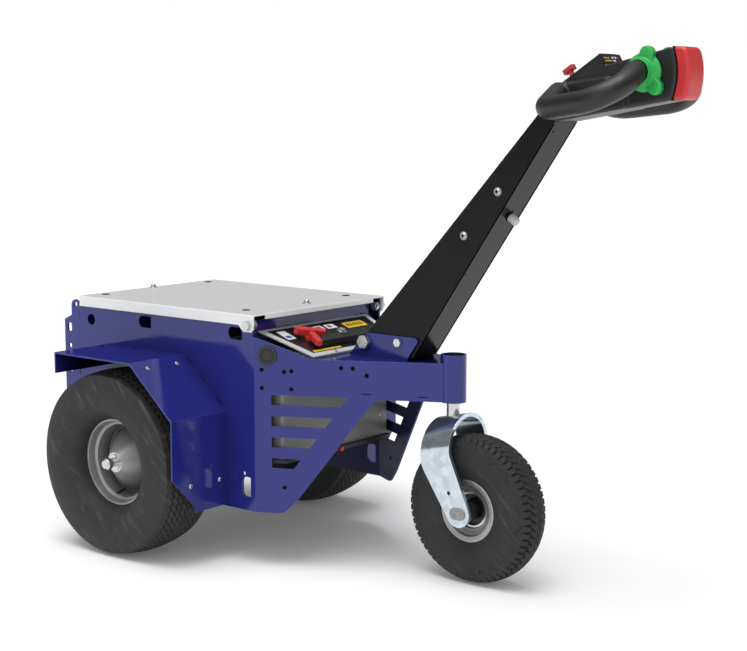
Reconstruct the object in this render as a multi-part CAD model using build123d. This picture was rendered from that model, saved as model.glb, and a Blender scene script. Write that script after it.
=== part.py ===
from build123d import *
from math import asin, atan2, cos, hypot, radians, sin, sqrt, tan
import os

# Electric trolley mover, in millimetres. While modelling, x runs forward from the drive axle, y to the
# left and z up from the floor. export_node() then moves x to the middle of the whole length.

# Drive wheels
drive_tyre_radius = 187.5
drive_tyre_width = 140
drive_crown_drop = 8
drive_rim_radius = 89
drive_rim_half_width = 30
rim_flange = 10
rim_sheet = 4
rim_ledge_depth = 14.5
rim_well_radius = 67
rim_well_depth = 41
rim_nose_rise = 5
valve_hole_radius = 5
drive_shaft_radius = 24
shaft_inner_y = 40
hub_nose_radius = 20
hub_flange_radius = 48
wheel_washer_radius = 16
wheel_bolt_radius = 12
wheel_bolt_rise = 32
wall_to_tyre = 6.5

# Castor
wheelbase = 615
castor_trail = 57
castor_tyre_radius = 142.5
castor_tyre_width = 80
castor_crown_drop = 9
castor_rim_radius = 60
castor_rim_half_width = 32
castor_hub_radius = 36
castor_axle_radius = 10
spacer_length = 4
stem_radius = 11
strap = 8
strap_half_width = 33
strap_offset = 3
fork_to_tyre = 15
fork_crown_gap = 30
fork_end_radius = 26
fork_bend_radius = 45

# Chassis sheet
sheet = 4
wall_half_width = 196
wall_rear_x = -276.4
bend_to_castor = 333.4
skirt_z = 109
castor_to_beam = 18
beam_height = 74
panel_rise = 39
wall_rise = 40.8
panel_to_stem = 19
head_tube_radius = 25
head_tube_bore = 21
head_tube_rise = 16
head_tube_recess = 18
rear_plate_inset = 47
hitch_hole_radius = 5.5
wall_notch = 3
bottom_plate_length = 135

# Fenders
fender_sheet = 3
fender_gap = 28
fender_front_gap = 17.5
fender_rear_x = -133
fender_fold_x = 90
fender_knee_rise = 113.5
fender_flange = 43
fender_overhang = 2

# Lid
lid_sheet = 3
lid_rear_inset = 55.5
lid_overhang = 3.6
lid_to_wall = 2
lid_flange = 22
lid_front_flange = 11
lid_front_notch = 33
lid_rest_gap = 0.5
lid_hole_radius = 7
lid_hole_inset_rear = 29.5
lid_hole_inset_front = 64.6
lid_hole_y = 153
pivot_inset = 10
pivot_drop = 17.8
pivot_bolt_radius = 5
pivot_wrench = 17

# Battery, tray and drive unit
battery_to_gearcase = 14
battery_overhang = 44
battery_half_width = 163
battery_to_console = 43
battery_rise = 105
battery_corner = 6
tray_sheet = 8
tray_lip = 8
gearcase_radius = 70
gearcase_half_width = 62
axle_tube_radius = 40
axle_tube_to_wheel = 50
motor_radius = 60
motor_rise = 26

# Control panel between the front panels
console_inset = 17.5
console_reach = 118.5
console_rear_half_width = 165
console_front_half_width = 135
console_rear_rise = 9
console_front_rise = 5
console_sheet = 3
ridge_right_y = -100
ridge_left_y = 97
ridge_u = 98
ridge_height = 14
ridge_length = 24
handle_u, handle_y, handle_rise = 62, -80, 7
handle_turn = 65
stem_width, stem_reach = 14, 46
key_u, key_y = 54, 26

# Tiller
tiller_half_width = 38
tiller_sheet = 3
tiller_foot_gap = 5
tiller_rear_to_castor = 216.6
tiller_front_to_castor = 69.2
tiller_rear_run, tiller_rear_rise = 425.2, 464
tiller_front_run, tiller_front_rise = 310.2, 449
cheek_sheet = 5
latch_height = 0.62
latch_opening = 13

# Tiller head
head_half_width = 30
head_tier_half_width = 40
head_length = 221.5
head_nose_rise = 37
head_nose_height = 88
head_bulge = 8.5
head_chamfer = 3
cap_thickness = 22
cap_inset = 2
cap_corner = 13
grip_radius = 20
grip_to_nose = 50.5
grip_root_rise = 83
grip_neck = 34
butterfly_radius = 33
butterfly_flange = 6
butterfly_depth = 28
butterfly_wing = 14
key_stem = 15
fit = 0.3

# Values worked out from the sizes above
drive_axle_z = drive_tyre_radius
wheel_y = wall_half_width + wall_to_tyre + drive_tyre_width / 2
wall_inner_y = wall_half_width - sheet
fender_outer_y = wheel_y + drive_tyre_width / 2 + fender_overhang
fender_top_z = drive_axle_z + drive_tyre_radius + fender_gap
fender_front_x = drive_tyre_radius + fender_front_gap
castor_axle_x = wheelbase + castor_trail
leg_inner_y = castor_tyre_width / 2 + fork_to_tyre
leg_outer_y = leg_inner_y + strap
fork_top_z = 2 * castor_tyre_radius + fork_crown_gap + strap
beam_bottom_z = fork_top_z + castor_to_beam
beam_top_z = beam_bottom_z + beam_height
panel_top_z = beam_top_z + panel_rise
wall_top_z = panel_top_z + wall_rise
head_tube_top_z = beam_top_z + head_tube_rise
bend_x = wheelbase - bend_to_castor
rear_plate_x = wall_rear_x + rear_plate_inset
lid_rear_x = wall_rear_x + lid_rear_inset
lid_front_x = bend_x + lid_overhang
lid_top_z = wall_top_z + lid_rest_gap + lid_sheet
lid_half_width = wall_half_width + lid_to_wall + lid_sheet
pivot_x = bend_x - pivot_inset
pivot_z = wall_top_z - pivot_drop
battery_rear_x = gearcase_radius + battery_to_gearcase
battery_front_x = bend_x + battery_overhang
battery_bottom_z = skirt_z + battery_rise
console_rear_x = bend_x - console_inset
console_front_x = console_rear_x + console_reach
console_rear_z = panel_top_z + console_rear_rise
console_front_z = beam_top_z + console_front_rise
battery_top_z = console_rear_z - battery_to_console
tiller_rear_foot = (wheelbase - tiller_rear_to_castor, beam_top_z + tiller_foot_gap)
tiller_front_foot = (wheelbase - tiller_front_to_castor, beam_top_z + tiller_foot_gap)
tiller_rear_top = (tiller_rear_foot[0] + tiller_rear_run, tiller_rear_foot[1] + tiller_rear_rise)
tiller_front_top = (tiller_front_foot[0] + tiller_front_run, tiller_front_foot[1] + tiller_front_rise)
head_front_x = tiller_front_top[0] + head_length
nose_low_z = tiller_front_top[1] + head_nose_rise
nose_top_z = nose_low_z + head_nose_height
grip_root_x = head_front_x - grip_to_nose
grip_root_z = tiller_front_top[1] + grip_root_rise
bend_to_stem = hypot(bend_to_castor, wall_half_width)
panel_angle = atan2(wall_half_width, bend_to_castor) - asin(panel_to_stem / bend_to_stem)
panel_end = sqrt(bend_to_stem**2 - panel_to_stem**2)
frame_centre_x = (wall_rear_x + head_front_x + head_bulge + cap_thickness) / 2
mirror_plane = Plane.XZ
seat_min = (Align.CENTER, Align.CENTER, Align.MIN)


def export_node(name, shape):
    """Write one node, moved so that x = 0 is the middle of the vehicle's length."""
    export_step(Pos(-frame_centre_x, 0, 0) * shape, f"parts/{name}.step")


def outline(points):
    """A flat face from its corner points."""
    return make_face(Polyline(*points, close=True))


def corner_near(face, x, y):
    """The corner of a flat face that lies nearest to a point."""
    return face.vertices().sort_by_distance(Vector(x, y))[0]


def upright(face, y, depth):
    """A face drawn in (x, z), set at y and made thick towards y + depth."""
    return Pos(0, y, 0) * extrude(Plane.XZ * face, -depth)


def across(x, z, radius, y0, y1):
    """A round bar along y."""
    return upright(Pos(x, z) * Circle(radius), y0, y1 - y0)


def post(x, y, radius, z0, z1):
    """A round bar along z."""
    return Pos(x, y, z0) * extrude(Circle(radius), z1 - z0)


def hexagon_across(x, z, width, y0, y1):
    """A hexagon head along y, by its width across flats."""
    return upright(Pos(x, z) * RegularPolygon(width / 2, 6, major_radius=False), y0, y1 - y0)


def both_sides(shape):
    """A right-hand piece and its mirror image, as two separate solids of one node."""
    return Compound([shape, mirror(shape, mirror_plane)])


def along(low, high, share):
    """A point between two points, by share of the way."""
    return (low[0] + (high[0] - low[0]) * share, low[1] + (high[1] - low[1]) * share)


def folded(points, thickness):
    """The section of a sheet folded along points, its thickness laid to the right of the line."""
    inner = []
    for i, (x, z) in enumerate(points):
        before = points[max(i - 1, 0)]
        after = points[min(i + 1, len(points) - 1)]
        a = atan2(z - before[1], x - before[0]) if i else atan2(after[1] - z, after[0] - x)
        b = atan2(after[1] - z, after[0] - x) if i < len(points) - 1 else a
        middle = (a + b) / 2
        reach = thickness / cos((b - a) / 2)
        inner.append((x + reach * sin(middle), z - reach * cos(middle)))
    return outline(list(points) + inner[::-1])


def panel_inner_y(x):
    """Half the width between the front panels' inner faces at x."""
    return wall_half_width - (x - bend_x) * tan(panel_angle) - sheet / cos(panel_angle)


# Side plates

hitch_x = wall_rear_x + 16
wall_round_holes = (  # x, z, diameter
    (hitch_x, wall_top_z - 196.8, 2 * hitch_hole_radius),
    (hitch_x, wall_top_z - 159.8, 2 * hitch_hole_radius),
    (hitch_x, wall_top_z - 107.8, 2 * hitch_hole_radius),
    (wall_rear_x + 86, wall_top_z - 45.8, 24),
    (bend_x - 30, skirt_z + 73, 8),
)
wall_windows = (  # x, z, width, height, corner radius at the rear, corner radius at the front
    (wall_rear_x + 252, wall_top_z - 36.8, 37, 25, 11, 3),
    (bend_x - 50, wall_top_z - 36.8, 37, 25, 11, 3),
    (hitch_x, wall_top_z - 67.8, 13, 20, 6, 6),
    (bend_x - 23, skirt_z + 47, 22, 40, 10, 4),
)
panel_round_holes = (  # u, z, diameter
    (15, beam_top_z - 23, 9), (15, beam_top_z - 59, 9), (59.6, beam_top_z - 26, 9),
    (74, beam_top_z - 24, 9), (74, beam_top_z - 59.5, 9), (172, beam_top_z - 15, 9),
    (195, beam_top_z - 15, 9), (222, beam_top_z - 28, 9.5), (59, skirt_z + 52, 9),
)
slot_count, slot_pitch, slot_height = 4, 41.6, 20
slot_u, slot_margin = 33.5, 54
slot_top_z = beam_bottom_z + 2
plug_u, plug_z, plug_radius, plug_brim = 27, beam_top_z + 5, 16.5, 2.5
panel_foot_u, panel_knee_u, panel_knee_z = 57, 87, skirt_z + 30
panel_shoulder_u = 115.5
panel_slant = 136 / 181
foot_fillet, slant_fillet = 20, 40
tab_radius, tab_x, tab_z = 13.5, wall_rear_x + 36.5, panel_top_z + 20.5

panel_plane = Plane(
    origin=(bend_x, -wall_half_width, 0),
    x_dir=(cos(panel_angle), sin(panel_angle), 0),
    z_dir=(sin(panel_angle), -cos(panel_angle), 0),
)


def panel_edge_u(z):
    """Where the front panel's slanting lower edge is, at height z."""
    return panel_knee_u + (z - panel_knee_z) * panel_slant


def window(x, z, width, height, rear_corner, front_corner):
    """A window with rounder corners on one side than on the other."""
    face = Rectangle(width, height)
    face = fillet(face.vertices().group_by(Axis.X)[0], rear_corner)
    return Pos(x, z) * fillet(face.vertices().group_by(Axis.X)[-1], front_corner)


def wall_face():
    """The wall beside the battery space, with the lid's pivot, the windows and the rear hitch holes."""
    face = outline([
        (wall_rear_x, skirt_z + 153), (wall_rear_x + 82, skirt_z + 41), (wall_rear_x + 152, skirt_z),
        (bend_x, skirt_z), (bend_x, panel_top_z), (bend_x - wall_notch, panel_top_z),
        (bend_x - wall_notch, wall_top_z), (lid_rear_x + wall_notch, wall_top_z),
        (lid_rear_x + wall_notch, tab_z), (tab_x - tab_radius, tab_z), (tab_x - tab_radius, panel_top_z),
        (wall_rear_x, panel_top_z - 11),
    ])
    face = fillet(corner_near(face, bend_x - wall_notch, wall_top_z), pivot_inset - wall_notch)
    face += Pos(tab_x, tab_z) * Circle(tab_radius)
    face -= Pos(tab_x, tab_z + 3) * Circle(5)
    face -= Pos(0, drive_axle_z) * Circle(axle_tube_radius)
    face -= Pos(pivot_x, pivot_z) * Circle(pivot_bolt_radius)
    for x, z, diameter in wall_round_holes:
        face -= Pos(x, z) * Circle(diameter / 2)
    for row in wall_windows:
        face -= window(*row)
    return face


def panel_face():
    """The front panel, drawn along u from the bend, with its plug hole and slanting slots."""
    slant_foot = panel_edge_u(beam_bottom_z)
    face = outline([
        (0, skirt_z), (panel_foot_u, skirt_z), (panel_knee_u, panel_knee_z), (slant_foot, beam_bottom_z),
        (panel_end, beam_bottom_z), (panel_end, beam_top_z), (panel_shoulder_u, beam_top_z),
        (wall_notch, panel_top_z), (0, panel_top_z),
    ])
    for u, z, radius in ((panel_foot_u, skirt_z, foot_fillet), (slant_foot, beam_bottom_z, slant_fillet)):
        face = fillet(corner_near(face, u, z), radius)
    for u, z, diameter in panel_round_holes:
        face -= Pos(u, z) * Circle(diameter / 2)
    face -= Pos(plug_u, plug_z) * Circle(plug_radius)
    for i in range(slot_count):
        top = slot_top_z - i * slot_pitch
        low = top - slot_height
        face -= outline([(slot_u, low), (panel_edge_u(low) - slot_margin, low),
                         (panel_edge_u(top) - slot_margin, top), (slot_u, top)])
    return face


def side_plate():
    """The right side plate: the wall and the front panel, one sheet bent at bend_x."""
    plate = upright(wall_face(), -wall_half_width, sheet) + extrude(panel_plane * panel_face(), -sheet)
    return plate - post(wheelbase, 0, head_tube_radius, beam_bottom_z - sheet, beam_top_z + sheet)


def rubber_plug():
    """The round plug in the right front panel, with a low brim outside."""
    spot = panel_plane * Pos(plug_u, plug_z)
    return spot * (Pos(0, 0, -sheet - 3) * Cylinder(plug_radius, sheet + 3, align=seat_min)
                   + Cylinder(plug_radius + plug_brim, plug_brim, align=seat_min))


# Cross members

def rear_plate():
    """The plate that closes the battery space at the rear."""
    low, top = skirt_z + 61, panel_top_z + 12
    face = Pos(0, (low + top) / 2) * Rectangle(2 * wall_inner_y, top - low)
    return Pos(rear_plate_x - sheet, 0, 0) * extrude(Plane.YZ * face, sheet)


def cross_plate():
    """The upright plate under the lid's front edge; its upper part clears the pivot bolts."""
    low, step, top = battery_top_z, pivot_z - 17, wall_top_z - 10.8
    face = Pos(0, (low + step) / 2) * Rectangle(2 * wall_inner_y, step - low)
    face += Pos(0, (low + top) / 2) * Rectangle(2 * (wall_inner_y - 16), top - low)
    return Pos(console_rear_x - sheet, 0, 0) * extrude(Plane.YZ * face, sheet)


def beam_plate(x0, z0):
    """A plate between the front panels, from x0 forward to the head tube."""
    face = outline([(x0, -panel_inner_y(x0)), (wheelbase, -panel_inner_y(wheelbase)),
                    (wheelbase, panel_inner_y(wheelbase)), (x0, panel_inner_y(x0))])
    plate = Pos(0, 0, z0) * extrude(face, sheet)
    return plate - post(wheelbase, 0, head_tube_radius, z0 - sheet, z0 + 2 * sheet)


def head_tube():
    """The tube that carries the castor's stem, with a wide recess at its open top."""
    tube = post(wheelbase, 0, head_tube_radius, beam_bottom_z - 1, head_tube_top_z)
    tube -= post(wheelbase, 0, stem_radius + fit, beam_bottom_z - 2, head_tube_top_z)
    return tube - post(wheelbase, 0, head_tube_bore, head_tube_top_z - head_tube_recess, head_tube_top_z + 1)


def fender():
    """The right fender: one folded sheet, its outer lower corner cut off."""
    section = folded([(fender_rear_x, fender_top_z - fender_flange), (fender_rear_x, fender_top_z),
                      (fender_fold_x, fender_top_z), (fender_front_x, drive_axle_z + fender_knee_rise),
                      (fender_front_x, skirt_z + 4)], fender_sheet)
    piece = upright(section, -fender_outer_y, fender_outer_y - wall_half_width)
    corner = outline([(-fender_outer_y - 1, skirt_z), (-fender_outer_y + 60, skirt_z),
                      (-fender_outer_y + 60, skirt_z + 14), (-fender_outer_y - 1, skirt_z + 79)])
    return piece - Pos(fender_front_x - 5 * fender_sheet, 0, 0) * extrude(Plane.YZ * corner, 10 * fender_sheet)


# Lid

def lid():
    """A shallow tray upside down, with lugs at its front corners for the pivot bolts."""
    length = lid_front_x - lid_rear_x
    middle = (lid_front_x + lid_rear_x) / 2
    lower_z = lid_top_z - lid_flange
    tray = Pos(middle, 0, lower_z) * Box(length, 2 * lid_half_width, lid_flange, align=seat_min)
    tray = fillet(tray.faces().sort_by(Axis.Z)[-1].edges(), 0.8 * lid_sheet)
    tray -= Pos(middle, 0, lower_z) * Box(length - 2 * lid_sheet, 2 * lid_half_width - 2 * lid_sheet,
                                          lid_flange - lid_sheet, align=seat_min)
    cut_depth = lid_flange - lid_front_flange
    for x in (lid_rear_x, lid_front_x):
        tray -= Pos(x, 0, lower_z) * Box(4 * lid_sheet, 2 * lid_half_width - 2 * lid_sheet, cut_depth,
                                         align=seat_min)
        for side in (-1, 1):
            notch_y = side * (lid_half_width - lid_sheet - lid_front_notch / 2)
            tray -= Pos(x, notch_y, lower_z) * Box(4 * lid_sheet, lid_front_notch, lid_flange - lid_sheet,
                                                   align=seat_min)
    lug_rear, lug_front, lug_low = pivot_x - 26, lid_front_x - 1, pivot_z - 13
    lug = outline([(lug_rear, lower_z), (lug_rear + 12, lug_low), (lug_front - 6, lug_low),
                   (lug_front, lug_low + 6), (lug_front, lid_top_z - lid_sheet),
                   (lug_rear, lid_top_z - lid_sheet)])
    for side in (-1, 1):
        tray += upright(lug, side * lid_half_width, -side * lid_sheet)
    tray -= across(pivot_x, pivot_z, pivot_bolt_radius + fit, -lid_half_width - 1, lid_half_width + 1)
    for x in (lid_rear_x + lid_hole_inset_rear, lid_front_x - lid_hole_inset_front):
        for side in (-1, 1):
            tray -= post(x, side * lid_hole_y, lid_hole_radius, lower_z, lid_top_z + 1)
    return tray


def lid_pivot_bolt():
    """The right pivot bolt: head outside the lid's lug, shank through lug and wall, nut inside."""
    head_y = -lid_half_width - 1
    bolt = across(pivot_x, pivot_z, pivot_bolt_radius, head_y, -wall_inner_y + 10)
    bolt += hexagon_across(pivot_x, pivot_z, pivot_wrench, head_y - 7.5, head_y)
    return bolt + hexagon_across(pivot_x, pivot_z, pivot_wrench, -wall_inner_y, -wall_inner_y + 8)


# Battery and drive unit

def battery_tray():
    """The tray between the side plates that carries the battery box."""
    front = battery_front_x + tray_lip
    near = bend_x - tray_lip
    rear = battery_rear_x - tray_lip / 2
    face = outline([(rear, -wall_inner_y), (near, -wall_inner_y), (front, tray_lip / 2 - panel_inner_y(front)),
                    (front, panel_inner_y(front) - tray_lip / 2), (near, wall_inner_y), (rear, wall_inner_y)])
    return Pos(0, 0, battery_bottom_z - tray_sheet) * extrude(face, tray_sheet)


def battery_box():
    """The battery box, one block with rounded upright edges."""
    length = battery_front_x - battery_rear_x
    block = Pos((battery_front_x + battery_rear_x) / 2, 0, battery_bottom_z) * Box(
        length, 2 * battery_half_width, battery_top_z - battery_bottom_z, align=seat_min)
    return fillet(block.edges().filter_by(Axis.Z), battery_corner)


def drive_unit():
    """Gear case, motor and the two axle tubes, one housing."""
    case = across(0, drive_axle_z, gearcase_radius, -gearcase_half_width, gearcase_half_width)
    tube_end = wheel_y - axle_tube_to_wheel
    tubes = across(0, drive_axle_z, axle_tube_radius, -tube_end, tube_end)
    motor_front = -gearcase_radius / 2
    motor_length = motor_front - rear_plate_x - 3 * sheet
    motor = Pos(motor_front, 0, drive_axle_z + motor_rise) * Rot(0, -90, 0) * Cylinder(
        motor_radius, motor_length, align=seat_min)
    bore = across(0, drive_axle_z, drive_shaft_radius + fit, -wheel_y, wheel_y)
    core = across(0, drive_axle_z, gearcase_radius, -shaft_inner_y, shaft_inner_y)
    return case + tubes + motor - (bore - core)


# Control panel

console_slope = atan2(console_rear_z - console_front_z, console_reach)
console_plane = Plane(
    origin=(console_rear_x, 0, console_rear_z),
    x_dir=(cos(console_slope), 0, -sin(console_slope)),
    z_dir=(sin(console_slope), 0, cos(console_slope)),
)
console_length = console_reach / cos(console_slope)


def console_plate():
    """The sloping plate between the front panels that carries the switches."""
    start = console_sheet * tan(console_slope) + fit
    face = outline([(start, -console_rear_half_width), (console_length, -console_front_half_width),
                    (console_length, console_front_half_width), (start, console_rear_half_width)])
    return console_plane * extrude(face, -console_sheet)


def console_ridge():
    """The raised ridge across the plate, steep at the front."""
    crest = ridge_height / 2
    section = outline([(ridge_u - ridge_length, 0), (ridge_u - crest, ridge_height), (ridge_u, ridge_height),
                       (ridge_u + 2, 0)])
    ridge = upright(section, ridge_right_y, ridge_left_y - ridge_right_y)
    notch = Pos(handle_u, handle_y, -1) * Rot(0, 0, handle_turn) * Pos(0, -stem_reach / 2, 0) * Box(
        stem_width + 5, stem_reach + 5, 3 * ridge_height, align=seat_min)
    return console_plane * (ridge - notch)


def isolator_handle():
    """The battery isolator's T handle on its round base."""
    base = Cylinder(11, handle_rise, align=seat_min)
    bar = Pos(0, 8, handle_rise) * Box(66, 15, 12, align=seat_min)
    stem = Pos(0, -stem_reach / 2, handle_rise) * Box(stem_width, stem_reach, 10, align=seat_min)
    handle = base + fillet(bar.edges().filter_by(Axis.Z), 5) + fillet(stem.edges().filter_by(Axis.Z), 4)
    return console_plane * Pos(handle_u, handle_y, 0) * Rot(0, 0, handle_turn) * handle


def key_switch():
    """The key switch: collar and barrel."""
    return console_plane * Pos(key_u, key_y, 0) * (Cylinder(10, 2.5, align=seat_min)
                                                   + Cylinder(7, 6, align=seat_min))


# Tiller

tiller_corners = (tiller_rear_foot, tiller_front_foot, tiller_front_top, tiller_rear_top)
clamp_bolt_points = (  # x, z, radius
    (tiller_rear_foot[0] + 35.6, beam_top_z + 28, 8),
    (tiller_rear_foot[0] + 117.6, beam_top_z + 34, 5),
)
latch_x, latch_z = along(tiller_front_foot, tiller_front_top, latch_height)
tiller_front_lean = atan2(tiller_front_rise, tiller_front_run)
latch_plane = Plane(origin=(latch_x, 0, latch_z), x_dir=(0, 1, 0),
                    z_dir=(sin(tiller_front_lean), 0, -cos(tiller_front_lean)))


def tiller_column():
    """The tapered box column, folded from sheet, open at its foot, with a diamond opening for the latch."""
    side = outline(tiller_corners)
    box = upright(side, -tiller_half_width, 2 * tiller_half_width)
    inside = upright(offset(side, -tiller_sheet), -tiller_half_width + tiller_sheet,
                     2 * (tiller_half_width - tiller_sheet))
    box -= inside
    diamond = extrude(RegularPolygon(latch_opening, 4), 3 * tiller_sheet)
    box -= latch_plane * Pos(0, 0, -2 * tiller_sheet) * diamond
    for x, z, radius in clamp_bolt_points:
        box -= across(x, z, radius, -tiller_half_width - 1, tiller_half_width + 1)
    return box


def tiller_cheek():
    """The right cheek of the tiller bracket, standing on the beam."""
    points = (  # ahead of the column's rear foot, above the beam
        (-3.5, 0), (24.5, 34), (42.5, 46), (156.5, 46), (163.5, 40), (136.5, 0),
    )
    face = outline([(tiller_rear_foot[0] + x, beam_top_z + z) for x, z in points])
    for x, z, radius in clamp_bolt_points:
        face -= Pos(x, z) * Circle(radius)
    return upright(face, -tiller_half_width - fit - cheek_sheet, cheek_sheet)


def clamp_bolts():
    """The two bolts through cheeks and column, with a head at each end."""
    reach = tiller_half_width + fit + cheek_sheet
    bolts = []
    for x, z, radius in clamp_bolt_points:
        bolt = across(x, z, radius, -reach, reach)
        for side in (-1, 1):
            bolt += hexagon_across(x, z, 3 * radius, side * reach, side * (reach + 1.2 * radius))
        bolts.append(bolt)
    return Compound(bolts)


def latch_pin():
    """The knurled pin that stands in the diamond opening on its cross strip."""
    strip = Pos(0, 0, -tiller_sheet - 4) * Box(2 * (tiller_half_width - tiller_sheet), 24, 4, align=seat_min)
    pin = Pos(0, 0, -tiller_sheet) * Cylinder(4, 20, align=seat_min)
    knob = Pos(0, 0, 6) * Cylinder(8, 13, align=seat_min)
    return latch_plane * (strip + pin + knob)


# Tiller head

hump_foot, hump_ridge = (-4, 62), (82, 117.5)  # ahead of the column's front top, above it
display_foot, heel = (94, 97), (-36, 36)
tier_points = ((13, 65), (98, 76), (138, 66))
key_along_hump = 23


def head_point(offset_point):
    """A point of the head's side view from its offset ahead of and above the column's front top."""
    return (tiller_front_top[0] + offset_point[0], tiller_front_top[1] + offset_point[1])


def head_front_arc(shift):
    """The bulging front edge of the head's side view, moved forward by shift."""
    middle_z = (nose_low_z + nose_top_z) / 2
    return ThreePointArc((head_front_x + shift, nose_low_z), (head_front_x + head_bulge + shift, middle_z),
                         (head_front_x + shift, nose_top_z))


def head_housing():
    """The head's housing: a wide tier over the column, the hump with the display and the nose."""
    back = Polyline((head_front_x, nose_top_z), head_point(display_foot), head_point(hump_ridge),
                    head_point(hump_foot), head_point(heel), tiller_rear_top, tiller_front_top,
                    (head_front_x, nose_low_z))
    face = make_face([head_front_arc(0), back])
    face = fillet(corner_near(face, *head_point(hump_foot)), 20)
    body = upright(face, -head_half_width, 2 * head_half_width)
    body = chamfer(body.faces().filter_by(Axis.Y).edges(), head_chamfer)
    front = tier_points[-1][0]
    low = (front, front * head_nose_rise / head_length)
    tier = outline([head_point(p) for p in (heel, *tier_points, low)] + [tiller_front_top, tiller_rear_top])
    tier = upright(tier, -head_tier_half_width, 2 * head_tier_half_width)
    return body + chamfer(tier.faces().filter_by(Axis.Y).edges(), head_chamfer / 2)


def belly_switch():
    """The belly switch: a cap of even thickness over the head's nose, its front corners rounded."""
    front_x = head_front_x + cap_thickness
    top = Line((head_front_x, nose_top_z), (front_x, nose_top_z))
    bottom = Line((head_front_x, nose_low_z), (front_x, nose_low_z))
    face = make_face([head_front_arc(0), top, head_front_arc(cap_thickness), bottom])
    for z in (nose_low_z, nose_top_z):
        face = fillet(corner_near(face, front_x, z), cap_corner)
    cap = upright(face, cap_inset - head_half_width, 2 * (head_half_width - cap_inset))
    middle_x = head_front_x + cap_thickness / 2
    edges = cap.faces().filter_by(Axis.Y).edges().filter_by(lambda edge: edge.center().X > middle_x)
    return chamfer(edges, cap_corner / 3)


grip_slope_forward, grip_slope_outward = 0.23, -0.37
grip_corners = (  # ahead of the root, out from the middle plane, fillet radius
    (31, 174, 56),
    (-137, 122, 38),
)
grip_heel = (-167, 30)
grip_neck_fillet = 30


def grip_point(ahead, y):
    """A point of the grip loop's middle line: the loop drops outwards and to the rear."""
    start_y = head_half_width + 15
    z = grip_root_z + grip_slope_forward * ahead + grip_slope_outward * (y - start_y)
    return (grip_root_x + ahead, -y, z)


def grip_bar():
    """The right grip's whole round bar, from the throttle out, back and in again to the head's heel."""
    root = (grip_root_x, -head_half_width, grip_root_z)
    neck = (grip_root_x, -head_half_width - grip_neck, grip_root_z)
    corners = [grip_point(ahead, y) for ahead, y, _ in grip_corners]
    radii = [grip_neck_fillet] + [radius for _, _, radius in grip_corners]
    path = FilletPolyline(root, neck, *corners, grip_point(*grip_heel), radius=radii)
    return sweep(Plane(origin=root, z_dir=(0, -1, 0)) * Circle(grip_radius), path)


def butterfly():
    """The right throttle paddle: a flange and a flaring collar about the grip's root, with two wings."""
    bore, neck_radius = grip_radius + fit, grip_radius + 2.2
    rim_corner, neck_end = (butterfly_radius, butterfly_flange), (neck_radius, butterfly_depth)
    waist = along((neck_radius, butterfly_flange), (butterfly_radius, butterfly_depth), 0.3)
    flare = ThreePointArc(rim_corner, waist, neck_end)
    rest = Polyline(neck_end, (bore, butterfly_depth), (bore, 0), (butterfly_radius, 0), rim_corner)
    collar = revolve(make_face([flare, rest]), Axis.Y)
    wings = Circle(bore + 1)
    for turn, reach in ((75, 45), (-45, 48)):
        wings += Rot(0, 0, turn) * Pos(reach / 2, 0) * SlotOverall(reach, 26)
    wings = extrude(Plane.XZ * (wings - Circle(bore)), -butterfly_wing)
    return Pos(grip_root_x, -head_half_width - fit, grip_root_z) * mirror(collar + wings, mirror_plane)


def stop_key():
    """The stop key that stands off the hump's rear slope on its stem."""
    slope = atan2(hump_ridge[1] - hump_foot[1], hump_ridge[0] - hump_foot[0])
    share = key_along_hump / hypot(hump_ridge[0] - hump_foot[0], hump_ridge[1] - hump_foot[1])
    x, z = along(head_point(hump_foot), head_point(hump_ridge), share)
    spot = Plane(origin=(x, 0, z), x_dir=(cos(slope), 0, sin(slope)), z_dir=(-sin(slope), 0, cos(slope)))
    head = Pos(0, 0, key_stem) * Box(23, 14, 8, align=seat_min)
    return spot * (Cylinder(5, key_stem, align=seat_min) + fillet(head.edges().filter_by(Axis.Z), 3))


# Wheels, drawn about the y axis: r outwards from the axle, y outwards from the wheel's middle plane

def turned(points):
    """A solid turned about the y axis from its half section."""
    return revolve(outline(points), Axis.Y)


def tyre(radius, width, crown_drop, shoulder_share, rim_radius, rim_half_width, outer_bead):
    """A tyre: gently crowned tread, sidewalls that bulge past the rim, beads between the rim's flanges."""
    bulge_r = rim_radius + 0.45 * (radius - rim_radius)
    shoulder = (radius - crown_drop, shoulder_share * width)
    walls = []
    for side in (-1, 1):
        bulge = (bulge_r, side * width / 2)
        walls.append(TangentArc(bulge, (rim_radius, side * rim_half_width), tangent=(-1, 0)))
        walls.append(TangentArc(bulge, (shoulder[0], side * shoulder[1]), tangent=(1, 0)))
    tread = ThreePointArc((shoulder[0], -shoulder[1]), (radius, 0), shoulder)
    bead_radius, bead_y = rim_radius - rim_flange, rim_half_width - rim_sheet
    seat = Polyline((rim_radius, -rim_half_width), (rim_radius, -bead_y), (bead_radius, -bead_y),
                    *outer_bead, (rim_radius, bead_y), (rim_radius, rim_half_width))
    return revolve(make_face([*walls, tread, seat]), Axis.Y)


def rim_disc_y(r):
    """How far out the drive rim's conical disc is at radius r."""
    well_y = drive_rim_half_width - rim_well_depth
    nose_y = drive_rim_half_width + rim_nose_rise
    return nose_y + (well_y - nose_y) * (r - hub_nose_radius) / (rim_well_radius - hub_nose_radius)


disc_sheet = rim_sheet * hypot(1, (rim_well_depth + rim_nose_rise) / (rim_well_radius - hub_nose_radius))


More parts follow.
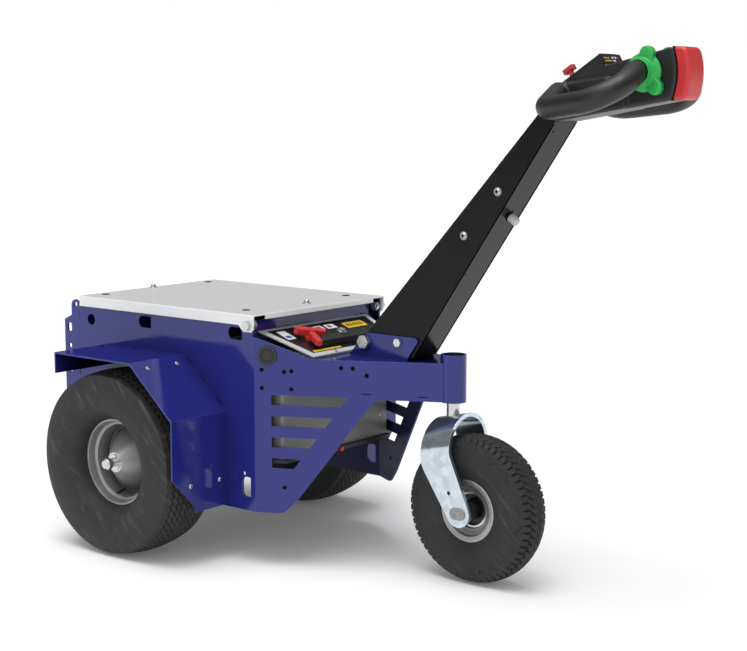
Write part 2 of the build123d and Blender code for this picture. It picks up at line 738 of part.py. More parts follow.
def drive_rim():
    """The deep stepped rim: rolled flange, bead seat, well and a conical disc, its outer side at positive y."""
    flange, edge = drive_rim_radius, drive_rim_half_width
    bead, barrel = flange - rim_flange, flange - rim_flange - rim_sheet
    ledge_y, well_y = edge - rim_ledge_depth, rim_disc_y(rim_well_radius)
    rim = turned([
        (flange, edge), (flange - 2, edge + 1.5), (flange - 5, edge + 1.5), (bead + 1, ledge_y + 2),
        (bead - 1, ledge_y), (barrel, ledge_y - 1), (rim_well_radius + 1, well_y + 5),
        (rim_well_radius, well_y), (hub_nose_radius, rim_disc_y(hub_nose_radius)),
        (hub_nose_radius, rim_disc_y(hub_nose_radius) - disc_sheet), (rim_well_radius, well_y - disc_sheet),
        (barrel, well_y - disc_sheet), (barrel, rim_sheet - edge), (bead, -edge), (flange, -edge),
        (flange, rim_sheet - edge), (bead, rim_sheet - edge), (bead, ledge_y - rim_sheet),
        (flange - 4, edge - rim_sheet), (flange, edge - rim_sheet),
    ])
    valve_r = (rim_well_radius + barrel) / 2
    turn = radians(16)
    return rim - across(-valve_r * sin(turn), -valve_r * cos(turn), valve_hole_radius, -edge, edge)


def drive_hub():
    """Shaft, conical flange behind the rim's disc, washer, spacer and domed bolt head, one turning piece."""
    seat = [(r, rim_disc_y(r) - disc_sheet) for r in (hub_flange_radius, hub_nose_radius)]
    outer_y = rim_disc_y(hub_nose_radius)
    washer_y = outer_y + 2.6
    end_y = drive_rim_half_width + wheel_bolt_rise
    head_y = (washer_y + end_y) / 2
    return turned([
        (0, shaft_inner_y - wheel_y), (drive_shaft_radius, shaft_inner_y - wheel_y),
        (drive_shaft_radius, seat[0][1] - 6), (hub_flange_radius, seat[0][1] - 6), *seat,
        (hub_nose_radius, outer_y), (wheel_washer_radius, outer_y), (wheel_washer_radius, washer_y),
        (wheel_bolt_radius - 3, washer_y), (wheel_bolt_radius - 3, head_y), (wheel_bolt_radius, head_y),
        (wheel_bolt_radius, end_y - 4), (wheel_bolt_radius - 4, end_y), (0, end_y),
    ])


def castor_rim():
    """The castor's rim: two pressed dishes back to back on a barrel."""
    flange, edge, hub = castor_rim_radius, castor_rim_half_width, castor_hub_radius
    bead = flange - rim_flange
    half = [(flange, edge), (flange - 2, edge + 1), (bead, edge - 1), (bead - 3, edge - 6),
            (hub + 4, edge - 10), (hub, edge - 11)]
    back = [(r, -y) for r, y in half[::-1]]
    groove = [(flange, rim_sheet - edge), (bead, rim_sheet - edge), (bead, edge - rim_sheet),
              (flange, edge - rim_sheet)]
    return turned(half + back + groove)


def castor_hub():
    """The hub that the castor's rim is pressed on, stepped at the bearings, with the axle's bore."""
    reach = leg_inner_y - spacer_length
    bore, seat_y = castor_axle_radius + fit, castor_rim_half_width - 16
    boss, groove = 2 * castor_axle_radius, castor_hub_radius - 6
    half = [(bore, reach), (boss, reach), (boss, seat_y - 6), (groove, seat_y - 6), (groove, seat_y),
            (castor_hub_radius, seat_y)]
    return turned(half + [(r, -y) for r, y in half[::-1]])


# Castor fork, in the vehicle's own place

fork_knee_rise, fork_rear_knee, fork_front_knee = 97.5, 83.5, 109.5  # above the castor's axle


def castor_fork():
    """A strap bent to an upside-down U, its legs sloping forward to the axle."""
    crown_z = fork_top_z - leg_outer_y
    legs = Pos(0, crown_z / 2) * Rectangle(2 * leg_outer_y, crown_z)
    gap = Pos(0, crown_z / 2) * Rectangle(2 * leg_inner_y, crown_z)
    front_view = legs + Pos(0, crown_z) * Circle(leg_outer_y) - gap - Pos(0, crown_z) * Circle(leg_inner_y)
    strap_x = wheelbase + strap_offset
    reach = castor_trail + 2 * (strap_half_width + fork_end_radius)
    bow = Pos(strap_x - reach, 0, 0) * extrude(Plane.YZ * front_view, 2 * reach)

    axle = (castor_axle_x, castor_tyre_radius)
    knee = (strap_x, castor_tyre_radius + fork_knee_rise)
    lean = atan2(knee[1] - axle[1], knee[0] - axle[0])
    side_x, side_z = fork_end_radius * sin(lean), -fork_end_radius * cos(lean)
    rear, front = strap_x - strap_half_width, strap_x + strap_half_width
    rear_z, front_z = castor_tyre_radius + fork_rear_knee, castor_tyre_radius + fork_front_knee
    profile = outline([
        (rear, fork_top_z + strap), (rear, rear_z), (axle[0] - side_x, axle[1] - side_z),
        (axle[0] + side_x, axle[1] + side_z), (front, front_z), (front, fork_top_z + strap),
    ])
    for x, z in ((rear, rear_z), (front, front_z)):
        profile = fillet(corner_near(profile, x, z), fork_bend_radius)
    profile += Pos(*axle) * Circle(fork_end_radius)
    profile -= Pos(*axle) * Circle(castor_axle_radius)
    profile -= Pos(*along(axle, knee, 0.38)) * Circle(4)
    side_view = upright(profile, -leg_outer_y - strap, 2 * (leg_outer_y + strap))
    return (bow & side_view) - post(wheelbase, 0, stem_radius, fork_top_z - 3 * strap, fork_top_z + strap)


def castor_stem():
    """The stem through the strap's crown, with a collar on it and a nut in the head tube's recess."""
    low = fork_top_z - strap - 8
    recess_z = head_tube_top_z - head_tube_recess
    bar = post(wheelbase, 0, stem_radius, low, head_tube_top_z - 6)
    collar = post(wheelbase, 0, stem_radius + 6, fork_top_z, fork_top_z + 4)
    under = post(wheelbase, 0, stem_radius + 5, low, low + 5)
    nut = post(wheelbase, 0, stem_radius + 6, recess_z + fit, recess_z + 9)
    return bar + collar + under + nut


def castor_axle():
    """The castor's axle, with flattened oval heads outside the legs and spacers inside them."""
    axle = across(castor_axle_x, castor_tyre_radius, castor_axle_radius, -leg_outer_y, leg_outer_y)
    oval = SlotOverall(3.4 * castor_axle_radius, 2.3 * castor_axle_radius)
    oval = Pos(castor_axle_x, castor_tyre_radius) * oval
    for side in (-1, 1):
        axle += upright(oval, side * leg_outer_y, side * 2)
        axle += across(castor_axle_x, castor_tyre_radius, castor_axle_radius + 6,
                       side * leg_inner_y, side * (leg_inner_y - spacer_length + fit))
    return axle


# Write every node

os.makedirs("parts", exist_ok=True)

housing = head_housing()
right_pieces = {
    "side_plate": side_plate(),
    "fender": fender(),
    "grip_loop": grip_bar() - housing,
    "butterfly": butterfly(),
}
for name, piece in right_pieces.items():
    export_node(f"{name}_right", piece)
    export_node(f"{name}_left", mirror(piece, mirror_plane))

single_pieces = {
    "rear_plate": rear_plate(),
    "cross_plate": cross_plate(),
    "beam_top_plate": beam_plate(console_front_x + console_sheet, beam_top_z - sheet),
    "beam_bottom_plate": beam_plate(wheelbase - bottom_plate_length, beam_bottom_z + sheet),
    "head_tube": head_tube(),
    "rubber_plugs": both_sides(rubber_plug()),
    "battery_tray": battery_tray(),
    "battery_box": battery_box(),
    "drive_unit": drive_unit(),
    "console_plate": console_plate(),
    "console_ridge": console_ridge(),
    "isolator_handle": isolator_handle(),
    "key_switch": key_switch(),
    "tiller_bracket": both_sides(tiller_cheek()),
    "tiller_column": tiller_column(),
    "clamp_bolts": clamp_bolts(),
    "latch_pin": latch_pin(),
    "head_housing": housing,
    "belly_switch": belly_switch(),
    "stop_key": stop_key(),
    "lid": lid(),
    "lid_pivot_bolts": both_sides(lid_pivot_bolt()),
    "castor_fork": castor_fork(),
    "castor_stem": castor_stem(),
    "castor_axle": castor_axle(),
}
for name, piece in single_pieces.items():
    export_node(name, piece)

drive_bead = (
    (drive_rim_radius - rim_flange, drive_rim_half_width - rim_ledge_depth - rim_sheet),
    (drive_rim_radius - 4, drive_rim_half_width - rim_sheet),
)
castor_bead = ((castor_rim_radius - rim_flange, castor_rim_half_width - rim_sheet),)
drive_pieces = {
    "drive_tyre": tyre(drive_tyre_radius, drive_tyre_width, drive_crown_drop, 0.44, drive_rim_radius,
                       drive_rim_half_width, drive_bead),
    "drive_rim": drive_rim(),
    "drive_hub": drive_hub(),
}
for name, piece in drive_pieces.items():
    left = Pos(0, wheel_y, drive_axle_z) * piece
    export_node(f"{name}_left", left)
    export_node(f"{name}_right", mirror(left, mirror_plane))

castor_pieces = {
    "castor_tyre": tyre(castor_tyre_radius, castor_tyre_width, castor_crown_drop, 0.4, castor_rim_radius,
                        castor_rim_half_width, castor_bead),
    "castor_rim": castor_rim(),
    "castor_hub": castor_hub(),
}
for name, piece in castor_pieces.items():
    export_node(name, Pos(castor_axle_x, 0, castor_tyre_radius) * piece)
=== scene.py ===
# %% [markdown]
# # Electric trolley mover, dressed
# A small pedestrian tug: a blue sheet-steel chassis on two pneumatic drive wheels and one castor, with a
# black tiller. The frame holds every rigid piece at its real size. This lesson adds finishes, tread,
# fasteners and trim, and never moves a piece of the frame.

# %% Load the fixed frame
from math import asin, cos, pi, radians, sin, sqrt

import bmesh
import bpy
from mathutils import Matrix, Vector


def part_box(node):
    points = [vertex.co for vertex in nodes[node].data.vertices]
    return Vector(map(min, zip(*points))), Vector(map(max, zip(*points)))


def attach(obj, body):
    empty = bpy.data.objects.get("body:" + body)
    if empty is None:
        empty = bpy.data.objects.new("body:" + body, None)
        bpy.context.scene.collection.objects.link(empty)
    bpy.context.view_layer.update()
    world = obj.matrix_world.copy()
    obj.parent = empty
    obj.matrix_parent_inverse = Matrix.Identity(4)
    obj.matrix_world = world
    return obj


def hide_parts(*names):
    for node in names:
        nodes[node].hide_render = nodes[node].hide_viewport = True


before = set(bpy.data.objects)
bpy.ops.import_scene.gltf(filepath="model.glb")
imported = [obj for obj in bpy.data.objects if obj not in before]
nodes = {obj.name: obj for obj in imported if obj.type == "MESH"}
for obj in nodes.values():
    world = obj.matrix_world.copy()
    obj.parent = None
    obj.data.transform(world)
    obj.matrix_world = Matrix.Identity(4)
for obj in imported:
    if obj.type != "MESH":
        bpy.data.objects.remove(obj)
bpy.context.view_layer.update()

# %% [markdown]
# Small pieces are placed as a fitter would measure them: millimetres ahead of the drive axle, to the left
# of the middle and above the floor. The axle's place comes from the frame, so nothing has to be fitted.

# %% Places
MM = 0.001


def middle(node):
    """The middle of a frame node's box."""
    low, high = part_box(node)
    return (low + high) / 2


AXLE_X = middle("drive_rim_right").x


def place(x, y, z):
    """A point in metres, from millimetres ahead of the drive axle, left of the middle, above the floor."""
    return Vector((AXLE_X + x * MM, y * MM, z * MM))


def new_object(name, data):
    """An object in the scene that holds its data."""
    thing = bpy.data.objects.new(name, data)
    bpy.context.scene.collection.objects.link(thing)
    return thing


print("drive axle at x =", round(AXLE_X, 4))

# %% [markdown]
# The camera stands at the photograph's angle. A long lens from three metres keeps the same perspective.
# The tiny shift sets the lens axis a few pixels above the middle, as in the photograph.

# %% Camera
IMAGE_WIDTH = 747
FOCAL_PIXELS = 1562.4
AXIS_ABOVE_MIDDLE = 4.1
CAMERA_PLACE = (1.9217, -2.364, 0.8975)
AZIMUTH, ELEVATION = radians(39.05), radians(7.87)

camera = new_object("camera", bpy.data.cameras.new("camera"))
camera.data.sensor_width = 36
camera.data.lens = FOCAL_PIXELS * camera.data.sensor_width / IMAGE_WIDTH
camera.data.shift_y = -AXIS_ABOVE_MIDDLE / IMAGE_WIDTH
camera.location = CAMERA_PLACE
camera.rotation_euler = (pi / 2 - ELEVATION, 0, AZIMUTH)
bpy.context.scene.camera = camera
print("lens", round(camera.data.lens, 1), "mm")

# %% [markdown]
# Shader trees are easier to read when a node is made in one line, so these helpers come first.

# %% Node helpers
def linear(red, green, blue):
    """A colour as it looks on a screen, 0 to 255, in the linear values that shaders use."""
    shares = [c / 255 for c in (red, green, blue)]
    return tuple(c / 12.92 if c < 0.04045 else ((c + 0.055) / 1.055) ** 2.4 for c in shares) + (1,)


def add_node(tree, kind, inputs=(), **settings):
    """A node with its settings and its inputs, which are values or other nodes' sockets."""
    node = tree.nodes.new(kind)
    for name, value in settings.items():
        setattr(node, name, value)
    for name, value in dict(inputs).items():
        if isinstance(value, bpy.types.NodeSocket):
            tree.links.new(value, node.inputs[name])
        else:
            node.inputs[name].default_value = value
    return node


def combine(tree, operation, a, b=0.0):
    """The result of a sum on two values."""
    return add_node(tree, "ShaderNodeMath", {0: a, 1: b}, operation=operation).outputs[0]


def spread(tree, value, low, high, to_low=0.0, to_high=1.0):
    """A value moved from one range to another, and kept inside it."""
    ends = {"Value": value, "From Min": low, "From Max": high, "To Min": to_low, "To Max": to_high}
    return add_node(tree, "ShaderNodeMapRange", ends).outputs[0]


def mixed(tree, factor, first, second):
    """Two colours mixed by a factor."""
    return add_node(tree, "ShaderNodeMix", {0: factor, 6: first, 7: second}, data_type="RGBA").outputs[2]


def mixed_value(tree, factor, first, second):
    """Two values mixed by a factor."""
    return add_node(tree, "ShaderNodeMix", {0: factor, 2: first, 3: second}, data_type="FLOAT").outputs[0]


def object_spot(tree):
    """The place of a point on its own piece."""
    return tree.nodes.new("ShaderNodeTexCoord").outputs["Object"]


print("node helpers ready")

# %% [markdown]
# Effects that many finishes share become node groups, and every bmesh becomes an object in the same way.

# %% Group and mesh helpers
def new_group(name, inputs, outputs):
    """A shader node group with named sockets; returns it with its input and output nodes."""
    group = bpy.data.node_groups.new(name, "ShaderNodeTree")
    for way, sockets in (("INPUT", inputs), ("OUTPUT", outputs)):
        for title, kind, *value in sockets:
            socket = group.interface.new_socket(title, in_out=way, socket_type="NodeSocket" + kind)
            if value:
                socket.default_value = value[0]
    return group, group.nodes.new("NodeGroupInput"), group.nodes.new("NodeGroupOutput")


def use_group(tree, group, inputs):
    """What a node group gives in a material, with the material's own values."""
    return add_node(tree, "ShaderNodeGroup", inputs, node_tree=group).outputs[0]


def as_object(shape, name):
    """A bmesh made into an object."""
    mesh = bpy.data.meshes.new(name)
    shape.to_mesh(mesh)
    shape.free()
    return new_object(name, mesh)


def smooth_mesh(mesh, angle=32):
    """Smooth shading that keeps edges sharper than an angle."""
    mesh.polygons.foreach_set("use_smooth", [True] * len(mesh.polygons))
    mesh.set_sharp_from_angle(angle=radians(angle))


def join_loops(shape, here, there):
    """Faces between two closed loops with as many points each."""
    for i in range(len(here)):
        j = (i + 1) % len(here)
        shape.faces.new((here[i], here[j], there[j], there[i]))


print("mesh helpers ready")

# %% [markdown]
# A plain studio. The camera sees a white backdrop. Glossy rays see a studio that is dim at eye level and
# bright overhead, so paint that mirrors the pale floor shines, and level paint is deep.

# %% Backdrop
world = bpy.data.worlds.new("studio")
bpy.context.scene.world = world
world.use_nodes = True
tree = world.node_tree
background = tree.nodes["Background"]
background.inputs["Color"].default_value = (1, 1, 1, 1)
rays = tree.nodes.new("ShaderNodeLightPath")
way = tree.nodes.new("ShaderNodeTexCoord").outputs["Generated"]
upward = add_node(tree, "ShaderNodeSeparateXYZ", {0: way}).outputs["Z"]
daylight = spread(tree, upward, 0.0, 0.6, 0.95, 0.3)  # lights dull faces: bright low, dim overhead
ceiling = spread(tree, upward, 0.55, 0.95, 0.22, 1.0)  # what gloss mirrors: dim low, bright overhead
seen_in_gloss = mixed_value(tree, rays.outputs["Is Glossy Ray"], daylight, ceiling)
seen_direct = combine(tree, "MAXIMUM", rays.outputs["Is Camera Ray"], rays.outputs["Is Transmission Ray"])
tree.links.new(mixed_value(tree, seen_direct, seen_in_gloss, 1.0), background.inputs["Strength"])
print("backdrop:", world.name)

# %% [markdown]
# The floor is a pale disc out to the horizon. A faint glow, which only the camera and gloss see, lifts the
# lit floor to white.

# %% Floor
FLOOR_REACH, FLOOR_GLOW = 60, 0.06

disc = bmesh.new()
bmesh.ops.create_circle(disc, cap_ends=True, radius=FLOOR_REACH, segments=64)
floor = as_object(disc, "floor")
floor_finish = bpy.data.materials.new("pale_floor")
floor_finish.use_nodes = True
floor.data.materials.append(floor_finish)
tree = floor_finish.node_tree
shader = tree.nodes["Principled BSDF"]
shader.inputs["Base Color"].default_value = linear(246, 246, 247)
shader.inputs["Roughness"].default_value = 0.9
shader.inputs["Specular IOR Level"].default_value = 0.0
rays = tree.nodes.new("ShaderNodeLightPath")
seen = combine(tree, "ADD", rays.outputs["Is Camera Ray"], rays.outputs["Is Glossy Ray"])
tree.links.new(combine(tree, "MULTIPLY", seen, FLOOR_GLOW), shader.inputs["Emission Strength"])
print("floor:", FLOOR_REACH, "m")

# %% [markdown]
# Three broad suns light the far floor as much as the near one. Two are nearly overhead, so the shadow stays
# close under the machine. The third is low and weak, and fills the near side.

# %% Suns
suns = (  # name, where the light comes from, strength, softness in degrees
    ("key_rear", (-0.10, -0.10, 1.0), 1.04, 40),
    ("key_front", (0.14, -0.24, 1.0), 1.20, 40),
    ("fill", (0.30, -0.90, 0.50), 0.55, 60),
)
for name, source, strength, softness in suns:
    lamp = new_object(name, bpy.data.lights.new(name, "SUN"))
    lamp.data.energy = strength
    lamp.data.angle = radians(softness)
    lamp.rotation_euler = Vector(source).to_track_quat("Z", "Y").to_euler()
bpy.context.scene.view_settings.view_transform = "Standard"
print("suns:", len(suns))

# %% [markdown]
# Real surfaces are never one flat tone. Four effects are shared by most finishes here, so each is a node
# group built once: uneven tone, uneven gloss, grain on edges that are softened, and a painted highlight along
# edges.

# %% Shared effects
CLOUD_GAIN = 4.0  # noise stays close to one half, so its swing is stretched


def cloud_of(group, inside, detail):
    """Cloudy noise over a piece, at the group's scale."""
    inputs = {"Vector": object_spot(group), "Scale": inside.outputs["Scale"], "Detail": detail}
    return add_node(group, "ShaderNodeTexNoise", inputs).outputs["Fac"]


def swing_of(group, inside, detail):
    """Cloudy noise about zero, as strong as the group's amount."""
    swing = combine(group, "SUBTRACT", cloud_of(group, inside, detail), 0.5)
    swing = combine(group, "MULTIPLY", swing, inside.outputs["Amount"])
    return combine(group, "MULTIPLY", swing, CLOUD_GAIN)


tone_group, inside, out = new_group(
    "uneven_tone",
    [("Color", "Color"), ("Amount", "Float"), ("Scale", "Float")],
    [("Color", "Color")])
factor = combine(tone_group, "ADD", swing_of(tone_group, inside, 5), 1.0)
scaled = add_node(tone_group, "ShaderNodeVectorMath", {0: inside.outputs["Color"], "Scale": factor},
                  operation="SCALE")
tone_group.links.new(scaled.outputs["Vector"], out.inputs["Color"])

gloss_group, inside, out = new_group(
    "uneven_gloss",
    [("Roughness", "Float"), ("Amount", "Float"), ("Scale", "Float", 35)],
    [("Roughness", "Float")])
rough = combine(gloss_group, "ADD", swing_of(gloss_group, inside, 4), inside.outputs["Roughness"])
gloss_group.links.new(rough, out.inputs["Roughness"])

grain_group, inside, out = new_group(
    "soft_edge_grain",
    [("Edge", "Float"), ("Grain", "Float"), ("Scale", "Float")],
    [("Normal", "Vector")])
rounded = add_node(grain_group, "ShaderNodeBevel", {"Radius": inside.outputs["Edge"]}, samples=4)
bump = add_node(grain_group, "ShaderNodeBump", {
    "Strength": inside.outputs["Grain"], "Distance": 0.0005, "Height": cloud_of(grain_group, inside, 3),
    "Normal": rounded.outputs[0]})
grain_group.links.new(bump.outputs[0], out.inputs["Normal"])

# The edge line group gives the mask for a painted highlight, a paler colour along edges.
edge_highlight_group, inside, out = new_group("edge_line", [("Reach", "Float")], [("Mask", "Float")])
rounded = add_node(edge_highlight_group, "ShaderNodeBevel", {"Radius": inside.outputs["Reach"]}, samples=4)
flat = edge_highlight_group.nodes.new("ShaderNodeNewGeometry").outputs["Normal"]
likeness = add_node(edge_highlight_group, "ShaderNodeVectorMath", {0: rounded.outputs[0], 1: flat},
                    operation="DOT_PRODUCT")
edge_highlight_group.links.new(spread(edge_highlight_group, likeness.outputs["Value"], 0.995, 0.90), out.inputs["Mask"])
print("shared effects:", [g.name for g in (tone_group, gloss_group, grain_group, edge_highlight_group)])

# %% [markdown]
# One function mixes those effects into a finish. A plain colour or roughness may be swapped for a recipe
# that builds its own nodes. Numbers that are the same all over are set on the shader's own sockets.

# %% Finishes
def finish(name, colour, roughness, tone=0.05, tone_scale=20, gloss=0.05, grain=0.05, grain_scale=900,
           edge=0.8, line=None, highlight_reach=1.2, **sockets):
    """A finish: uneven tone and gloss, grain, softened edges (mm) and, where given, a painted highlight along
    edges.
    """
    material = bpy.data.materials.new(name)
    material.use_nodes = True
    tree = material.node_tree
    shader = tree.nodes["Principled BSDF"]
    base = colour(tree) if callable(colour) else linear(*colour)
    shade = use_group(tree, tone_group, {"Color": base, "Amount": tone, "Scale": tone_scale})
    # A line colour, where given, is a painted highlight along edges.
    if line:
        highlight_mask = use_group(tree, edge_highlight_group, {"Reach": highlight_reach * MM})
        shade = mixed(tree, highlight_mask, shade, linear(*line))
    rough = roughness(tree) if callable(roughness) else roughness
    rough = use_group(tree, gloss_group, {"Roughness": rough, "Amount": gloss})
    normal = use_group(tree, grain_group, {"Edge": edge * MM, "Grain": grain, "Scale": grain_scale})
    for socket, source in (("Base Color", shade), ("Roughness", rough), ("Normal", normal)):
        tree.links.new(source, shader.inputs[socket])
    for socket, value in sockets.items():
        shader.inputs[socket.replace("_", " ")].default_value = value
    return material


tiller_coat = finish("tiller_black", (17, 17, 18), 0.16, tone=0.12, grain=0.12, grain_scale=1600,
                     Specular_IOR_Level=0.17)
head_plastic = finish("head_black", (24, 25, 25), 0.42, tone=0.12, grain=0.22, grain_scale=1500, edge=1.2)
seam_black = finish("seam_black", (9, 9, 9), 0.7, tone=0.2, grain=0.1, Specular_IOR_Level=0.1)
gap_black = finish("gap_black", (4, 4, 4), 0.9, tone=0.1, Specular_IOR_Level=0.0)
tray_black = finish("tray_black", (18, 18, 19), 0.5, tone=0.12, grain=0.1)
motor_black = finish("motor_black", (22, 22, 23), 0.55, tone=0.2, grain=0.5, grain_scale=350)
battery_grey = finish("battery_grey", (124, 125, 122), 0.4, tone=0.06, tone_scale=6, grain=0.12)
console_paint = finish("console_grey", (196, 198, 200), 0.35, tone=0.03, line=(235, 236, 238))
console_black = finish("console_black", (16, 16, 17), 0.35, tone=0.1, grain=0.12,
                       line=(70, 70, 72), highlight_reach=0.8)
hub_black = finish("hub_black", (18, 18, 19), 0.4, tone=0.1, grain=0.1)
bright_steel = finish("bright_steel", (206, 207, 208), 0.22, tone=0.06, tone_scale=90, grain=0.06,
                      Metallic=0.9)
rough_steel = finish("rough_steel", (150, 151, 150), 0.5, tone=0.45, tone_scale=320,
                     grain=0.9, grain_scale=420, Metallic=0.5)
print("plain finishes ready")

# %% [markdown]
# Some finishes have their own pattern. Hot-dip zinc freezes in flat crystals, so the castor's fork gets a
# spangle from cells. The belly switch has faint ribs. The blue sheet gets painted shade, dark on faces that
# look inwards or down, and it is duller there.

# %% Patterns
RIB_PITCH, PLUG_RING = 10.5, 12.5  # millimetres between ribs, and the radius of the ring on a plug


def spangle(tree):
    """Zinc crystals: flat cells, each a little lighter or darker."""
    cells = add_node(tree, "ShaderNodeTexVoronoi", {"Vector": object_spot(tree), "Scale": 75})
    value = add_node(tree, "ShaderNodeSeparateColor", {0: cells.outputs["Color"]}).outputs[0]
    return mixed(tree, value, linear(186, 198, 206), linear(210, 221, 228))


def ribbed_red(tree):
    """Red plastic with faint upright ribs across the cap."""
    along = add_node(tree, "ShaderNodeSeparateXYZ", {0: object_spot(tree)}).outputs["Y"]
    wave = combine(tree, "SINE", combine(tree, "MULTIPLY", along, 2 * pi / (RIB_PITCH * MM)))
    return mixed(tree, spread(tree, wave, 0.7, 1.0), linear(200, 46, 46), linear(180, 34, 36))


def corner_shade(tree, light, dark, reach, shut=0.35, open_to=0.9):
    """A colour with painted shade: darker where faces meet inside, within a reach in millimetres."""
    # Painted shade, from how shut in each spot is.
    shut_in = add_node(tree, "ShaderNodeAmbientOcclusion", {"Distance": reach * MM}, samples=6)
    return mixed(tree, spread(tree, shut_in.outputs["AO"], shut, open_to), linear(*dark), linear(*light))


def shaded(*shades):
    """A recipe that gives a corner_shade of these values."""
    return lambda tree: corner_shade(tree, *shades)


def turned_in(tree):
    """How far a face looks inwards or down, from 0 to 1."""
    side = add_node(tree, "ShaderNodeSeparateXYZ", {0: object_spot(tree)}).outputs["Y"]
    normal = tree.nodes.new("ShaderNodeNewGeometry").outputs["Normal"]
    facing = add_node(tree, "ShaderNodeSeparateXYZ", {0: normal})
    outward = combine(tree, "MULTIPLY", combine(tree, "SIGN", side), facing.outputs["Y"])
    open_side = combine(tree, "MINIMUM", outward, facing.outputs["Z"])
    return spread(tree, open_side, -0.3, -0.75)


def sheet_blue(tree):
    """Gloss blue with painted shade: deeper in corners, and dark on faces that look inwards or down."""
    outer = corner_shade(tree, (31, 38, 118), (7, 8, 34), 180, 0.1, 0.62)
    # Painted shade: faces that look inwards or down are mixed towards a blue-black.
    return mixed(tree, combine(tree, "MULTIPLY", turned_in(tree), 0.7), outer, linear(8, 9, 30))


def sheet_gloss(tree):
    """The blue paint's roughness: smooth outside, duller on faces that look inwards or down."""
    return spread(tree, turned_in(tree), 0.0, 1.0, 0.1, 0.45)


def side_lit_grey(tree):
    """Pale grey paint with painted light: lighter on faces that look sideways, darker on faces that look up.
    """
    normal = tree.nodes.new("ShaderNodeNewGeometry").outputs["Normal"]
    height = add_node(tree, "ShaderNodeSeparateXYZ", {0: normal}).outputs["Z"]
    # Painted light: sideways faces get the paler grey, upward faces the darker one.
    return mixed(tree, spread(tree, height, 0.3, 0.9), linear(230, 231, 231), linear(200, 200, 201))


def ringed_rubber(tree):
    """A push-in plug: black rubber with a darker ring about its axis, the same on both sides."""
    corners = [v.co for v in nodes["rubber_plugs"].data.vertices if v.co.y < 0]
    axis = sum(corners, Vector()) / len(corners)
    spot = add_node(tree, "ShaderNodeVectorMath", {0: object_spot(tree)}, operation="ABSOLUTE").outputs[0]
    mirror = tuple(abs(c) for c in axis)
    apart = add_node(tree, "ShaderNodeVectorMath", {0: spot, 1: mirror}, operation="DISTANCE")
    off_ring = combine(tree, "ABSOLUTE", combine(tree, "SUBTRACT", apart.outputs["Value"], PLUG_RING * MM))
    return mixed(tree, spread(tree, off_ring, 1.0 * MM, 2.5 * MM), linear(12, 12, 12), linear(40, 43, 42))


print("patterns ready")

# %% [markdown]
# The patterns go into finishes. Green plastic, zinc and the sprayed rims get painted shade in their corners.

# %% Patterned finishes
blue_paint = finish("blue_paint", sheet_blue, sheet_gloss, gloss=0.03, grain=0.02,
                    line=(92, 99, 172), highlight_reach=0.9)
green_plastic = finish("green_plastic", shaded((42, 178, 80), (18, 92, 40), 30, 0.3, 0.95), 0.36,
                       tone=0.06, grain=0.08, edge=1.4, line=(104, 214, 130))
galvanised = finish("galvanised", spangle, 0.14, tone=0.04, tone_scale=60,
                    line=(244, 248, 250), highlight_reach=1.4, Metallic=0.95)
lid_paint = finish("lid_grey", side_lit_grey, 0.42, tone=0.012, grain=0.04, edge=1.2,
                   line=(240, 240, 240), highlight_reach=2.4)
plug_rubber = finish("plug_rubber", ringed_rubber, 0.6, tone=0.1, grain=0.2, edge=1.0)
zinc = finish("zinc", shaded((190, 192, 194), (28, 28, 30), 5), 0.34, tone=0.1, tone_scale=120,
              grain=0.1, Metallic=0.6)
red_plastic = finish("red_plastic", ribbed_red, 0.4, tone=0.04, grain=0.1, edge=1.6)
rim_silver = finish("rim_silver", shaded((176, 176, 174), (70, 70, 70), 80, 0.3), 0.32,
                    tone_scale=40, grain=0.08, edge=1.0, line=(226, 226, 226), highlight_reach=1.0, Metallic=0.35)
print("patterned finishes ready")

# %% [markdown]
# Each frame node takes its finish. A name that ends in an underscore stands for every node that starts so.

# %% Dress the frame
dressed = (  # finish, nodes
    (blue_paint, "side_plate_ fender_ rear_plate cross_plate beam_ head_tube tiller_bracket"),
    (lid_paint, "lid"),
    (tiller_coat, "tiller_column"),
    (head_plastic, "head_housing grip_loop_"),
    (plug_rubber, "rubber_plugs"),
    (seam_black, "drive_tyre_ castor_tyre latch_pin"),
    (tray_black, "battery_tray"),
    (motor_black, "drive_unit"),
    (battery_grey, "battery_box"),
    (console_paint, "console_plate"),
    (console_black, "console_ridge"),
    (red_plastic, "isolator_handle belly_switch stop_key"),
    (green_plastic, "butterfly_"),
    (hub_black, "castor_hub"),
    (bright_steel, "drive_hub_ clamp_bolts lid_pivot_bolts key_switch castor_stem"),
    (rough_steel, "castor_axle"),
    (galvanised, "castor_fork"),
    (rim_silver, "drive_rim_ castor_rim"),
)
for material, carried in dressed:
    for name, node in nodes.items():
        if any(name == c or (c.endswith("_") and name.startswith(c)) for c in carried.split()):
            node.data.materials.clear()
            node.data.materials.append(material)
print("dressed:", sum(len(carried.split()) for _, carried in dressed), "names")

# %% [markdown]
# The pneumatic tyres carry a moulded tread, which the frame leaves plain. Each tyre starts from the frame's
# own section: two round walls, a crowned tread and the seat on the rim.

# %% Tyre section
BULGE_SHARE = 0.45  # where a wall is widest, from the rim to the tread
BEAD_STEPS = 10
SEAT_DROP, SEAT_INSET = 3, 4


def arc_points(end, top, steps):
    """Points of an arc that leaves its widest point `top` along the radius and ends at `end`."""
    run, drop = end[0] - top[0], top[1] - end[1]
    radius = (run * run + drop * drop) / (2 * drop)
    turn = asin(run / radius)
    angles = [turn * i / steps for i in range(steps + 1)]
    return [(top[0] + radius * sin(a), top[1] - radius * (1 - cos(a))) for a in angles]


